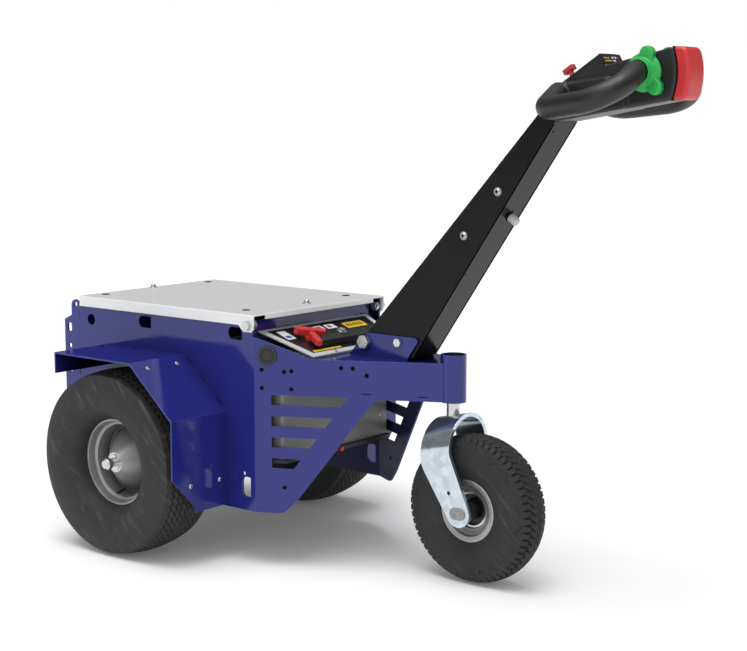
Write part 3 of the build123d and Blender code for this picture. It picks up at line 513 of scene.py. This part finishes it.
def tyre_section(node, crown_drop, shoulder_share, rim_radius, rim_half_width, wall_steps, tread_steps):
    """A tyre's section in millimetres, from one bead over the tread to the other, then over the seat."""
    low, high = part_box(node)
    radius, width = (high.z - low.z) / 2 / MM, (high.y - low.y) / MM
    bulge = (rim_radius + BULGE_SHARE * (radius - rim_radius), width / 2)
    shoulder = shoulder_share * width
    wall = arc_points((rim_radius, rim_half_width), bulge, BEAD_STEPS)[::-1]
    wall += arc_points((radius - crown_drop, shoulder), bulge, wall_steps)[1:]
    crown = (shoulder**2 + crown_drop**2) / (2 * crown_drop)
    across = [shoulder - 2 * shoulder * i / tread_steps for i in range(1, tread_steps)]
    tread = [(radius - crown + sqrt(crown**2 - y * y), y) for y in across]
    other = [(r, -y) for r, y in wall[::-1]]
    seat_radius, seat_half_width = rim_radius - SEAT_DROP, rim_half_width - SEAT_INSET
    return wall + tread + other + [(seat_radius, -seat_half_width), (seat_radius, seat_half_width)]


drive_section = tyre_section("drive_tyre_right", crown_drop=8, shoulder_share=0.44, rim_radius=89,
                             rim_half_width=30, wall_steps=16, tread_steps=80)
castor_section = tyre_section("castor_tyre", crown_drop=9, shoulder_share=0.4, rim_radius=60,
                              rim_half_width=32, wall_steps=30, tread_steps=40)
print("sections:", len(drive_section), "and", len(castor_section), "points")

# %% [markdown]
# The section is swept round the axle, and points are pressed in where a groove runs, so the outside stays
# where the frame has it. A real groove shows in the outline, which a bump never does.

# %% Sweep
TYRE_SHARP = 40  # degrees


def zigzag(angle, count, lean):
    """A wave of straight flanks between -1 and 1, `count` times round the wheel, that peaks at `lean`."""
    share = (angle * count / (2 * pi)) % 1
    return 2 * (share / lean if share < lean else (1 - share) / (1 - lean)) - 1


def groove(distance, half_width):
    """How deep a groove is at a distance from its middle, from 1 in the floor to 0 outside."""
    return max(0.0, min(1.0, (half_width - distance) / (0.5 * half_width)))


def swept_tyre(name, node, body, section, depth_at, segments, material):
    """A tyre swept round its axle, with its surface pressed in where depth_at(angle, y, r) says."""
    hub = middle(node)
    shape = bmesh.new()
    rings = []
    for k in range(segments):
        angle = 2 * pi * k / segments
        ring = []
        for r, y in section:
            down, inward = depth_at(angle, y, r)
            reach = (r - down) * MM
            across = (y - inward if y > 0 else y + inward) * MM
            ring.append(shape.verts.new(hub + Vector((reach * cos(angle), across, reach * sin(angle)))))
        rings.append(ring)
    for here, there in zip(rings, rings[1:] + rings[:1]):
        join_loops(shape, here, there)
    bmesh.ops.recalc_face_normals(shape, faces=shape.faces)
    piece = as_object(shape, name)
    smooth_mesh(piece.data, TYRE_SHARP)
    piece.data.materials.append(material)
    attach(piece, body)
    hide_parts(node)
    print(name, len(piece.data.polygons), "faces")


print("sweep ready")

# %% [markdown]
# Tyre rubber is dark grey, not black. Handling leaves thin paler streaks, and painted shade keeps the floors
# of the grooves darker than the tops of the tread. The pattern is laid about each wheel's own axle, so it
# turns with it.

# %% Tyre rubber
STREAK_LAY = ((0.08, 0, -0.09), (0.74, 0, 0.67))  # along a streak, drawn out, and across it
GROOVE_REACH = 6  # millimetres


def rubber_finish(name, hub, dark, pale):
    """Tyre rubber about a wheel's axle, with slanting scuffs and painted shade in the groove floors."""
    def recipe(tree):
        spot = add_node(tree, "ShaderNodeVectorMath", {0: object_spot(tree), 1: tuple(hub)},
                        operation="SUBTRACT").outputs[0]
        dots = [add_node(tree, "ShaderNodeVectorMath", {0: spot, 1: way}, operation="DOT_PRODUCT")
                for way in STREAK_LAY]
        lay = [dot.outputs["Value"] for dot in dots]
        slant = add_node(tree, "ShaderNodeCombineXYZ", {0: lay[0], 1: lay[1], 2: 0.0}).outputs[0]
        streak = add_node(tree, "ShaderNodeTexNoise",
                          {"Vector": slant, "Scale": 90, "Detail": 5, "Roughness": 0.6})
        patch = add_node(tree, "ShaderNodeTexNoise", {"Vector": spot, "Scale": 14, "Detail": 3})
        rubbed = combine(tree, "MULTIPLY", spread(tree, streak.outputs["Fac"], 0.52, 0.68),
                         spread(tree, patch.outputs["Fac"], 0.42, 0.62))
        shade = mixed(tree, rubbed, linear(*dark), linear(*pale))
        # Painted shade: groove floors that are shut in are darkened.
        shut_in = add_node(tree, "ShaderNodeAmbientOcclusion", {"Distance": GROOVE_REACH * MM}, samples=4)
        return mixed(tree, spread(tree, shut_in.outputs["AO"], 0.25, 0.8), linear(24, 24, 24), shade)
    return finish(name, recipe, 0.66, tone=0.1, tone_scale=60, gloss=0.08, grain=0.4, grain_scale=700,
                  edge=0.6, Specular_IOR_Level=0.4)


castor_rubber = rubber_finish("castor_rubber", middle("castor_tyre"), (40, 40, 40), (66, 66, 65))
print("rubber:", castor_rubber.name)

# %% [markdown]
# The drive tyres have a turf tread: thin zig-zag grooves that run round the tyre.

# %% Drive tread
DRIVE_LINES, DRIVE_WAVES = (5, 18, 31, 44), 76  # grooves' distances from the middle, waves round the tyre
DRIVE_TREAD_FROM, DRIVE_SEGMENTS = 170, 608
DRIVE_SWING, DRIVE_LEAN, DRIVE_STAGGER = 3.6, 0.65, 0.02
DRIVE_DEPTH, DRIVE_HALF = 3.2, 2.2


def drive_tread(angle, y, r):
    """How far the drive tyre's surface is pressed in, towards the axle and sideways, in millimetres."""
    if r < DRIVE_TREAD_FROM:
        return 0, 0
    side = 1 if y > 0 else -1
    swing = DRIVE_SWING * zigzag(angle + DRIVE_STAGGER * side, DRIVE_WAVES, DRIVE_LEAN)
    return DRIVE_DEPTH * max(groove(abs(abs(y) - line - swing), DRIVE_HALF) for line in DRIVE_LINES), 0


for side in ("right", "left"):
    node = f"drive_tyre_{side}"
    rubber = rubber_finish(f"drive_rubber_{side}", middle(node), (44, 44, 44), (76, 76, 75))
    swept_tyre(f"treaded_{node}", node, f"drive_wheel_{side}", drive_section, drive_tread,
               DRIVE_SEGMENTS, rubber)

# %% [markdown]
# The castor's tyre has small blocks, parted by notches that reach its edge, and faint chevrons in its wall.

# %% Castor tread
CASTOR_BLOCKS, CASTOR_SEGMENTS = 60, 720
CASTOR_WALL_FROM, CASTOR_TREAD_FROM, CASTOR_EASE = 108, 128, 4  # radii, and how soon the tread is full depth
CHEVRON_RADIUS, CHEVRON_SWING, CHEVRON_HALF, CHEVRON_DEPTH = 118.5, 5, 2.0, 1.7
NOTCH_FROM, NOTCH_BEND, NOTCH_SLANT, NOTCH_HALF = 12, 24, 0.075, 0.14  # the last two in shares of a block
RING_LINES, RING_SWING, RING_HALF, RING_SHARE = (4, 21), 2.2, 1.8, 0.6
CASTOR_DEPTH = 4.2


def castor_tread(angle, y, r):
    """How far the castor tyre's surface is pressed in, as in drive_tread."""
    if r < CASTOR_WALL_FROM:
        return 0, 0
    if r < CASTOR_TREAD_FROM:
        side = 1 if y > 0 else -1
        fade = 0.55 + 0.45 * sin(5 * angle + side) * sin(11 * angle)
        middle_line = CHEVRON_RADIUS + CHEVRON_SWING * zigzag(angle, CASTOR_BLOCKS // 2, 0.6)
        return 0, CHEVRON_DEPTH * fade * groove(abs(r - middle_line), CHEVRON_HALF)
    share = angle * CASTOR_BLOCKS / (2 * pi) + NOTCH_SLANT * max(0, NOTCH_BEND - abs(y))
    notch = groove(abs((share % 1) - 0.5), NOTCH_HALF) if abs(y) > NOTCH_FROM else 0
    swing = RING_SWING * zigzag(angle, CASTOR_BLOCKS, 0.72)
    ring = max(groove(abs(abs(y) - line - swing), RING_HALF) for line in RING_LINES)
    ease = min(1, (r - CASTOR_TREAD_FROM) / CASTOR_EASE)
    return CASTOR_DEPTH * max(notch, RING_SHARE * ring) * ease, 0


swept_tyre("treaded_castor_tyre", "castor_tyre", "castor_wheel", castor_section, castor_tread,
           CASTOR_SEGMENTS, castor_rubber)

# %% [markdown]
# The castor's fork is one strap bent to an upside-down U. The bend follows the slope of its legs, so the
# crown's rear edge lies lower than its front edge. A copy of the frame's fork is sheared above its knees,
# and stays as it is from the knees down to the axle.

# %% Raked fork
FORK_FRONT, FORK_DROP = 651, 0.23  # the strap's front edge ahead of the axle, and its drop per length
KNEE_Z, CROWN_Z = 238, 260

shape = bmesh.new()
shape.from_mesh(nodes["castor_fork"].data)
bmesh.ops.remove_doubles(shape, verts=shape.verts, dist=1e-6)
front_edge = place(FORK_FRONT, 0, 0).x
for vertex in shape.verts:
    share = (vertex.co.z / MM - KNEE_Z) / (CROWN_Z - KNEE_Z)
    vertex.co.z -= max(0.0, min(1.0, share)) * FORK_DROP * (front_edge - vertex.co.x)
fork = as_object(shape, "raked_fork")
smooth_mesh(fork.data)
fork.data.materials.append(galvanised)
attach(fork, "castor_swivel")
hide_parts("castor_fork")
print(fork.name, len(fork.data.polygons), "faces")

# %% [markdown]
# Small turned things, such as bolts, knobs and rings, share one lathe: a half profile of radius and height,
# turned about z with as many sides as the thing has. Six sides make a hexagon head.

# %% A small lathe
def circle(radius, count):
    """Points round a circle."""
    return [(radius * cos(2 * pi * i / count), radius * sin(2 * pi * i / count)) for i in range(count)]


def lathe(profile, sides):
    """A closed shape turned about z from points of radius and height in millimetres."""
    shape = bmesh.new()
    rings = []
    for r, z in profile:
        count = sides if r > 0 else 1
        rings.append([shape.verts.new((x, y, z * MM)) for x, y in circle(r * MM, count)])
    for low, high in zip(rings, rings[1:]):
        for i in range(sides):
            j = i + 1
            ring = [low[i % len(low)], low[j % len(low)], high[j % len(high)], high[i % len(high)]]
            corners = list(dict.fromkeys(ring))
            if len(corners) > 2:
                shape.faces.new(corners)
    bmesh.ops.remove_doubles(shape, verts=shape.verts, dist=1e-7)
    bmesh.ops.recalc_face_normals(shape, faces=shape.faces)
    return shape


print("lathe ready")

# %% [markdown]
# Fasteners repeat, so Geometry Nodes set them out: a mesh of bare points holds where each one sits, which
# way it faces and how large it is, and the tree puts one copy of the fastener on every point. The copies
# are made real and given their finish inside the tree, because an export drops instances.

# %% Fastener tree
fastener_tree = bpy.data.node_groups.new("set_fasteners", "GeometryNodeTree")
sockets = fastener_tree.interface
sockets.new_socket("Geometry", in_out="INPUT", socket_type="NodeSocketGeometry")
fastener_socket = sockets.new_socket("Fastener", in_out="INPUT", socket_type="NodeSocketObject")
finish_socket = sockets.new_socket("Finish", in_out="INPUT", socket_type="NodeSocketMaterial")
sockets.new_socket("Geometry", in_out="OUTPUT", socket_type="NodeSocketGeometry")
given = fastener_tree.nodes.new("NodeGroupInput")
result = fastener_tree.nodes.new("NodeGroupOutput")
facing = add_node(fastener_tree, "GeometryNodeInputNamedAttribute", {"Name": "facing"},
                  data_type="FLOAT_VECTOR")
size = add_node(fastener_tree, "GeometryNodeInputNamedAttribute", {"Name": "size"}, data_type="FLOAT")
turned = add_node(fastener_tree, "FunctionNodeAlignRotationToVector",
                  {"Vector": facing.outputs["Attribute"]}, axis="Z")
copied = add_node(fastener_tree, "GeometryNodeObjectInfo", {"Object": given.outputs["Fastener"]})
points = add_node(fastener_tree, "GeometryNodeInstanceOnPoints", {
    "Points": given.outputs["Geometry"], "Instance": copied.outputs["Geometry"],
    "Rotation": turned.outputs["Rotation"], "Scale": size.outputs["Attribute"]})
real = add_node(fastener_tree, "GeometryNodeRealizeInstances", {"Geometry": points.outputs["Instances"]})
painted = add_node(fastener_tree, "GeometryNodeSetMaterial", {
    "Geometry": real.outputs["Geometry"], "Material": given.outputs["Finish"]})
fastener_tree.links.new(painted.outputs["Geometry"], result.inputs["Geometry"])
print("fastener tree:", len(fastener_tree.nodes), "nodes")

# %% [markdown]
# One call makes the points, runs the tree on them and keeps the result as one piece.

# %% Setting fasteners
FASTENER_SHARP = 30  # degrees


def set_fasteners(name, body, profile, sides, spots, material):
    """Copies of one turned fastener on rows of (x, y, z, facing, size), joined as one piece on a body."""
    pattern = as_object(lathe(profile, sides), f"{name}_pattern")
    cloud = bpy.data.meshes.new(f"{name}_points")
    cloud.from_pydata([place(*row[:3]) for row in spots], [], [])
    cloud.attributes.new("facing", "FLOAT_VECTOR", "POINT").data.foreach_set(
        "vector", [c for row in spots for c in Vector(row[3]).normalized()])
    cloud.attributes.new("size", "FLOAT", "POINT").data.foreach_set(
        "value", [float(row[4]) for row in spots])
    holder = new_object(f"{name}_points", cloud)
    modifier = holder.modifiers.new("set_fasteners", "NODES")
    modifier.node_group = fastener_tree
    modifier[fastener_socket.identifier] = pattern
    modifier[finish_socket.identifier] = material
    made = holder.evaluated_get(bpy.context.evaluated_depsgraph_get())
    mesh = bpy.data.meshes.new_from_object(made)
    mesh.name = name
    smooth_mesh(mesh, FASTENER_SHARP)
    piece = new_object(name, mesh)
    for spare in (holder, pattern):
        bpy.data.objects.remove(spare)
    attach(piece, body)
    print(name, len(spots), "copies,", len(mesh.polygons), "faces")
    return piece


print("ready to set fasteners")

# %% [markdown]
# Button-head screws hold the fenders, the tiller's inner guide and the console. Those of the right side are
# mirrored to the left. A flat dark hexagon in each head is painted shade for its socket.

# %% Screws
OUT_RIGHT, OUT_LEFT, AHEAD, UP = (0, -1, 0), (0, 1, 0), (1, 0, 0), (0, 0, 1)
FENDER_ANGLE = radians(41.6)
FENDER_SLOPE = (sin(FENDER_ANGLE), 0, cos(FENDER_ANGLE))
CONSOLE_UP = (0.341, 0, 0.940)

button_profile = ((0, 0.2), (3.0, 0.2), (3.2, 4.0), (4.4, 3.8), (6.0, 2.4), (6.8, 0.6), (8.4, 0.6),
                  (8.4, -0.6), (0, -0.6))
socket_shade_profile = ((0, 4.1), (3, 4.1), (3, 3), (0, 3))
right_spots = (  # x, y, z, facing, size
    (738, -38, 743.8, OUT_RIGHT, 0.95),
    (663.8, -38, 660.6, OUT_RIGHT, 0.95),
    (104.6, -309, 390.05, FENDER_SLOPE, 0.58),
    (104.6, -231, 390.05, FENDER_SLOPE, 0.58),
    (205, -296.5, 167.8, AHEAD, 0.58),
    (205, -216.8, 166.7, AHEAD, 0.58),
)
left_spots = tuple((x, -y, z, (a, -b, c), size) for x, y, z, (a, b, c), size in right_spots)
single_spots = (
    (377, -66, 422.2, CONSOLE_UP, 0.6),
    (325.6, 138, 259.3, AHEAD, 0.6),
)
screw_spots = right_spots + left_spots + single_spots
set_fasteners("button_screws", "chassis", button_profile, 18, screw_spots, zinc)
# The dark hexagons are painted shade for the screws' sockets.
set_fasteners("screw_sockets", "chassis", socket_shade_profile, 6, screw_spots, seam_black)

# %% [markdown]
# Domed bolts sit on the lid's middle line and rubber grommets in its corner holes. Two small hexagon bolts
# hold the console's rail.

# %% Lid and rail
LID_TOP = 498.3

dome_profile = ((0, 9), (2.6, 8.6), (4.4, 7.2), (5.4, 5), (5.6, 1.4), (9, 1.4), (9, 0), (0, 0))
dome_spots = tuple((x, 0, LID_TOP, UP, 1) for x in (-208, 245))
set_fasteners("lid_dome_bolts", "lid", dome_profile, 18, dome_spots, bright_steel)

bolt_profile = ((0, 4.6), (6.2, 4.6), (7, 4), (7, 1), (9.5, 1), (9.5, 0), (0, 0))
rail_spots = tuple((268, y, 461.6, CONSOLE_UP, 0.5) for y in (137.5, 156))
set_fasteners("rail_bolts", "chassis", bolt_profile, 6, rail_spots, bright_steel)

grommet_profile = ((4.6, -3), (4.6, 0.3), (6, 0.9), (8, 0.7), (8.4, 0), (6.8, 0), (6.8, -3), (4.6, -3))
corner_spots = tuple((x, y, LID_TOP, UP, 1) for x in (-191.4, 220.6) for y in (-153, 153))
set_fasteners("lid_grommets", "lid", grommet_profile, 24, corner_spots, seam_black)

# %% [markdown]
# The tiller's front face has small pilot holes and a knurled latch knob. The castor turns on a plain stem,
# and its hub has a bright ring on each side. A red stub sits on the battery box.

# %% Turned pieces
TILLER_AHEAD = (0.823, 0, -0.568)
STEM_X = 615
CASTOR_X, CASTOR_Z, RING_Y = 672, 142.5, 16

# Each pilot hole is a flat black dot, painted shade for the hole.
dot_profile = ((0, 0.25), (2.4, 0.25), (2.4, -0.6), (0, -0.6))
pilot_places = ((844.3, -22.4, 852), (751.1, 34, 717.1), (661.6, -27.5, 587.6), (660.2, 34, 585.5))
pilot_spots = tuple((*spot, TILLER_AHEAD, 1) for spot in pilot_places)
set_fasteners("tiller_pilot_holes", "chassis", dot_profile, 12, pilot_spots, seam_black)

knurled = finish("knurled_zinc", (188, 189, 187), 0.45, tone=0.3, tone_scale=420, grain=0.6, grain_scale=420,
                 Metallic=0.2)
knob_profile = ((0, 22), (5.4, 22), (7.6, 20.8), (8.4, 19.2), (8.4, 4), (5, 1.2), (0, 1.2))
knob_spots = ((738.1, 0, 698.4, TILLER_AHEAD, 1),)
set_fasteners("latch_knob", "chassis", knob_profile, 24, knob_spots, knurled)

stem_profile = ((0, 302), (16, 302), (16, 306.5), (12.5, 306.5), (12.5, 339.3), (11, 339.3), (11, 413.3),
                (17, 413.3), (17, 422), (11, 422), (11, 425), (0, 425))
stem_spots = ((STEM_X, 0, 0, UP, 1),)
stem = set_fasteners("plain_stem", "castor_swivel", stem_profile, 36, stem_spots, bright_steel)
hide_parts("castor_stem")

ring_profile = ((30.6, -1), (30.6, 1.4), (33, 2.0), (35.4, 1.4), (35.4, -1), (30.6, -1))
ring_spots = ((CASTOR_X, -RING_Y, CASTOR_Z, OUT_RIGHT, 1), (CASTOR_X, RING_Y, CASTOR_Z, OUT_LEFT, 1))
set_fasteners("castor_hub_rings", "castor_wheel", ring_profile, 48, ring_spots, bright_steel)

stub_profile = ((0, 5), (4, 4.6), (5.4, 3), (5.6, 0), (0, 0))
stub_spots = ((333.6, 2.3, 209.6, AHEAD, 1),)
set_fasteners("battery_stub", "chassis", stub_profile, 16, stub_spots, red_plastic)

# %% [markdown]
# Printed films, blanks and dark slits are thin plates. Each set is drawn flat in millimetres and laid on a
# plane of the machine.

# %% Thin plates
def thin_plates(name, body, at, rows, thickness, material, lift):
    """Thin plates on a plane: rows of corner points in millimetres, joined as one piece on a body."""
    shape = bmesh.new()
    for corners in rows:
        low, high = [[shape.verts.new((x * MM, y * MM, z * MM)) for x, y in corners]
                     for z in (lift, lift + thickness)]
        shape.faces.new(low[::-1])
        shape.faces.new(high)
        join_loops(shape, low, high)
    bmesh.ops.recalc_face_normals(shape, faces=shape.faces)
    shape.transform(at)
    piece = as_object(shape, name)
    piece.data.materials.append(material)
    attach(piece, body)
    print(name, len(rows), "plates")


def plane(at, along, up, out):
    """The frame of a plane at a point, from its own two directions and the one out of it."""
    return Matrix([(*row, c) for row, c in zip(zip(along, up, out), at)] + [(0, 0, 0, 1)])


def label(u0, u1, v0, v1):
    """The corners of a rectangle on a plane."""
    return ((u0, v0), (u1, v0), (u1, v1), (u0, v1))


def round_corners(u, v, diameter, count=16):
    """The corners of a round plate."""
    return tuple((u + x, v + y) for x, y in circle(diameter / 2, count))


film_black = finish("film_black", (17, 17, 18), 0.3, tone=0.1)
film_white = finish("film_white", (226, 228, 230), 0.35, tone=0.03)
film_red = finish("film_red", (196, 44, 40), 0.35)
film_blue = finish("film_blue", (52, 84, 172), 0.35)
film_yellow = finish("film_yellow", (226, 186, 36), 0.35)
print("films ready")

# %% [markdown]
# The control panel is a printed film on a grey plate: a black field, pale blank labels with small coloured
# marks, a yellow strip with bars and a yellow line. They lie on the plate's own slope.

# %% Control panel
CONSOLE_REAR, CONSOLE_TILT = place(264.1, 0, 463), radians(19.94)
console_frame = Matrix.Translation(CONSOLE_REAR) @ Matrix.Rotation(CONSOLE_TILT, 4, "Y")

field = (((10, -150), (114, -124), (114, 124), (10, 150)),)
labels = (label(18, 53, -132, -109), label(20, 38, -63, -37), label(20, 38, -28, -4), label(20, 38, 4, 33))
red_marks = (label(24, 34, -56, -46), label(24, 34, -20, -11), label(24, 34, 11, 20))
blue_mark = (label(38, 48, -128, -114),)
yellow = (label(24, 47, 57, 119), label(106, 112, -119, -36))
bars = tuple(label(30, 41, y, y + 5) for y in (64, 74, 84, 94, 104))
for name, rows, thickness, material, slot, lift in (
    ("panel_field", field, 0.5, film_black, "console_black", 0.0),
    ("panel_labels", labels, 0.3, film_white, "console_grey", 0.5),
    ("panel_red_marks", red_marks, 0.2, film_red, "red_plastic", 0.8),
    ("panel_blue_mark", blue_mark, 0.2, film_blue, "console_grey", 0.8),
    ("panel_yellow", yellow, 0.3, film_yellow, "console_grey", 0.5),
    ("panel_yellow_bars", bars, 0.2, film_black, "console_black", 0.8),
):
    thin_plates(name, "chassis", console_frame, rows, thickness, material, lift)

# %% [markdown]
# Black discs set inside the front panels' spare holes are painted shade, and three black blanks lie on each
# fender. Narrow tabs show as dark slits in the sheets. Each panel leans in from its bend towards the castor's
# stem.

# %% Blanks and slits
PANEL_TURN, BEND_X, WALL_Y = radians(27.63), 281.6, 196
HOLE_SHADE_GAP = 0.2
# Black discs in the panels' holes are painted shade, so the holes read dark.
PANEL_HOLE_SHADES = (  # along the panel, height, diameter
    (15, 392, 9), (15, 356, 9), (59.6, 389, 9), (74, 391, 9), (74, 355.5, 9), (172, 400, 9), (195, 400, 9),
    (222, 387, 9.5), (59, 161, 9),
)
PANEL_SLITS = (label(212, 231, 350.4, 352.2), label(322, 340, 348.4, 350.2))
WALL_SLITS = (label(-230.2, -228.6, 451, 463), label(-230.2, -228.6, 328, 340))
FENDER_TOP, FENDER_EDGE = 403, 90  # height of the fender's top, and where its slope starts
TOP_BLANKS, TOP_BLANK = ((-123, 226.8), (-42, 215), (40, 222)), 10  # ahead, from the middle; diameter
SLOPE_SLITS = ((8, 24), (55, 75), (118, 138))  # down the slope
SLIT_Y, SLIT_WIDE = 196.4, 2.2

panel_blanks = tuple(round_corners(u, z, wide - HOLE_SHADE_GAP) for u, z, wide in PANEL_HOLE_SHADES)
top_frame = Matrix.Translation(place(0, 0, FENDER_TOP))
slope_frame = Matrix.Translation(place(FENDER_EDGE, 0, FENDER_TOP)) @ Matrix.Rotation(FENDER_ANGLE, 4, "Y")
for side, sign in (("right", -1), ("left", 1)):
    along = (cos(PANEL_TURN), -sign * sin(PANEL_TURN), 0)
    out = (sin(PANEL_TURN), sign * cos(PANEL_TURN), 0)
    panel_frame = plane(place(BEND_X, sign * WALL_Y, 0), along, UP, out)
    wall_frame = plane(place(0, sign * WALL_Y, 0), AHEAD, UP, (0, sign, 0))
    top_blanks = tuple(round_corners(x, sign * y, TOP_BLANK) for x, y in TOP_BLANKS)
    slope_slits = tuple(label(u0, u1, sign * SLIT_Y, sign * (SLIT_Y + SLIT_WIDE)) for u0, u1 in SLOPE_SLITS)
    for name, at, rows, thickness, slot, lift in (
        ("panel_blanks", panel_frame, panel_blanks, 1.2, "rubber", -2.6),
        ("panel_slits", panel_frame, PANEL_SLITS, 0.3, "blue_paint", -0.15),
        ("wall_slits", wall_frame, WALL_SLITS, 0.3, "blue_paint", -0.15),
        ("fender_top_blanks", top_frame, top_blanks, 0.6, "rubber", -0.2),
        ("fender_slope_slits", slope_frame, slope_slits, 0.3, "blue_paint", -0.15),
    ):
        thin_plates(f"{name}_{side}", "chassis", at, rows, thickness, seam_black, lift)

# %% [markdown]
# The tiller is a folded tube, and a dark seam runs down each front edge where its cover plate meets the
# sides. It is a narrow black strip, laid on the front face.

# %% Tiller seams
TILLER_FOOT, TILLER_TOP = place(545.8, 0, 420), place(856, 0, 869)
SEAM_FROM, SEAM_SHORT, SEAM_WIDE = 12, 4, 4.6  # up from the foot, short of the top, across
SEAM_SIDES = (-37.9, 33.3)

rise = (TILLER_TOP - TILLER_FOOT).normalized()
tiller_frame = plane(TILLER_FOOT, rise, OUT_LEFT, (rise.z, 0, -rise.x))
seam_end = (TILLER_TOP - TILLER_FOOT).length / MM - SEAM_SHORT
seams = tuple(label(SEAM_FROM, seam_end, y, y + SEAM_WIDE) for y in SEAM_SIDES)
thin_plates("tiller_seams", "chassis", tiller_frame, seams, 0.3, gap_black, -0.1)

# %% [markdown]
# The tiller head is one moulding on the real machine: housing and grips flow into each other. Here the three
# frame nodes are joined, remeshed as one skin and relaxed, so the corners become moulded radii.

# %% Moulded head
def moulded(name, body, members, voxel, relax, material):
    """One smooth skin over frame nodes, which it stands for, from voxels of a size in millimetres."""
    shape = bmesh.new()
    for member in members:
        shape.from_mesh(nodes[member].data)
    bmesh.ops.remove_doubles(shape, verts=shape.verts, dist=1e-5)
    piece = as_object(shape, name)
    skin = piece.modifiers.new("skin", "REMESH")
    skin.mode = "VOXEL"
    skin.voxel_size = voxel * MM
    soft = piece.modifiers.new("soft", "SMOOTH")
    soft.factor = 0.5
    soft.iterations = relax
    made = piece.evaluated_get(bpy.context.evaluated_depsgraph_get())
    mesh = bpy.data.meshes.new_from_object(made)
    mesh.name = name
    piece.modifiers.clear()
    piece.data = mesh
    mesh.materials.clear()
    mesh.materials.append(material)
    mesh.polygons.foreach_set("use_smooth", [True] * len(mesh.polygons))
    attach(piece, body)
    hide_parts(*members)
    print(name, len(mesh.polygons), "faces")


head_members = ("head_housing", "grip_loop_right", "grip_loop_left")
moulded("moulded_head", "chassis", head_members, 2.2, 9, head_plastic)

# %% [markdown]
# A narrow dark gap runs round the nose where the belly switch moves. It is a thin band that follows the
# nose's bowed end, standing a hair above both mouldings so that it shows as a line.

# %% Nose gap
NOSE_X, NOSE_BOW, NOSE_LOW, NOSE_TOP, NOSE_HALF = 1077.5, 8.5, 906, 994, 28
GAP_HALF, GAP_PROUD, GAP_DEEP = 1.1, 0.5, 2
NOSE_STEPS = 16


def nose_loop(proud, shift):
    """Points round the nose's end, raised by `proud` and moved ahead by `shift` millimetres."""
    low, top, half = NOSE_LOW - proud, NOSE_TOP + proud, NOSE_HALF + proud
    heights = [low + (top - low) * i / NOSE_STEPS for i in range(NOSE_STEPS + 1)]
    loop = [(z, half) for z in heights] + [(z, -half) for z in heights[::-1]]
    bow = [1 - (2 * (z - NOSE_LOW) / (NOSE_TOP - NOSE_LOW) - 1) ** 2 for z, _ in loop]
    return [place(NOSE_X + NOSE_BOW * b + shift, y, z) for (z, y), b in zip(loop, bow)]


shape = bmesh.new()
corners = ((GAP_PROUD, -GAP_HALF), (GAP_PROUD, GAP_HALF), (-GAP_DEEP, GAP_HALF), (-GAP_DEEP, -GAP_HALF))
loops = [[shape.verts.new(p) for p in nose_loop(*corner)] for corner in corners]
for loop, following in zip(loops, loops[1:] + loops[:1]):
    join_loops(shape, loop, following)
bmesh.ops.recalc_face_normals(shape, faces=shape.faces)
gap = as_object(shape, "nose_gap")
gap.data.materials.append(seam_black)
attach(gap, "chassis")
print(gap.name, len(gap.data.polygons), "faces")

# %% [markdown]
# The belly switch and the two throttle butterflies are soft mouldings too, so they get the same treatment
# with a finer skin, each in place of its own frame node.

# %% Soft controls
for node, material, slot in (
    ("belly_switch", red_plastic, "red_plastic"),
    ("butterfly_right", green_plastic, "green_plastic"),
    ("butterfly_left", green_plastic, "green_plastic"),
):
    moulded(f"soft_{node}", "chassis", (node,), 1.2, 14, material)

# %% [markdown]
# A narrow display sits on the hump, facing the operator. Its lamps are small coloured plates on a dark film,
# with no signs or words.

# %% Display
DISPLAY_FOOT, DISPLAY_RIDGE = place(950, 0, 966), place(938, 0, 986.5)
display_up = (DISPLAY_RIDGE - DISPLAY_FOOT).normalized()
display_out = (display_up.z, 0, -display_up.x)
display_frame = plane(DISPLAY_FOOT, OUT_LEFT, display_up, display_out)
film = (label(-35, 35, 3, 21),)
thin_plates("display_film", "chassis", display_frame, film, 1.2, film_black, -0.4)
lamp_rows = (  # from and to across, low, high, finish
    (-24, -20, 12, 15, film_yellow), (-17, -13, 12, 15, film_yellow), (-10, -6, 12, 15, film_yellow),
    (-24, -3, 6.5, 9, film_yellow), (2, 8, 12, 16, film_white), (2, 12, 6.5, 9.5, film_white),
    (12, 18, 12, 16, film_white), (22, 25, 12, 16, film_red),
)
for material in (film_yellow, film_white, film_red):
    rows = tuple(label(a, b, low, high) for a, b, low, high, kind in lamp_rows if kind is material)
    thin_plates(f"display_{material.name}", "chassis", display_frame, rows, 0.3, material, 0.8)
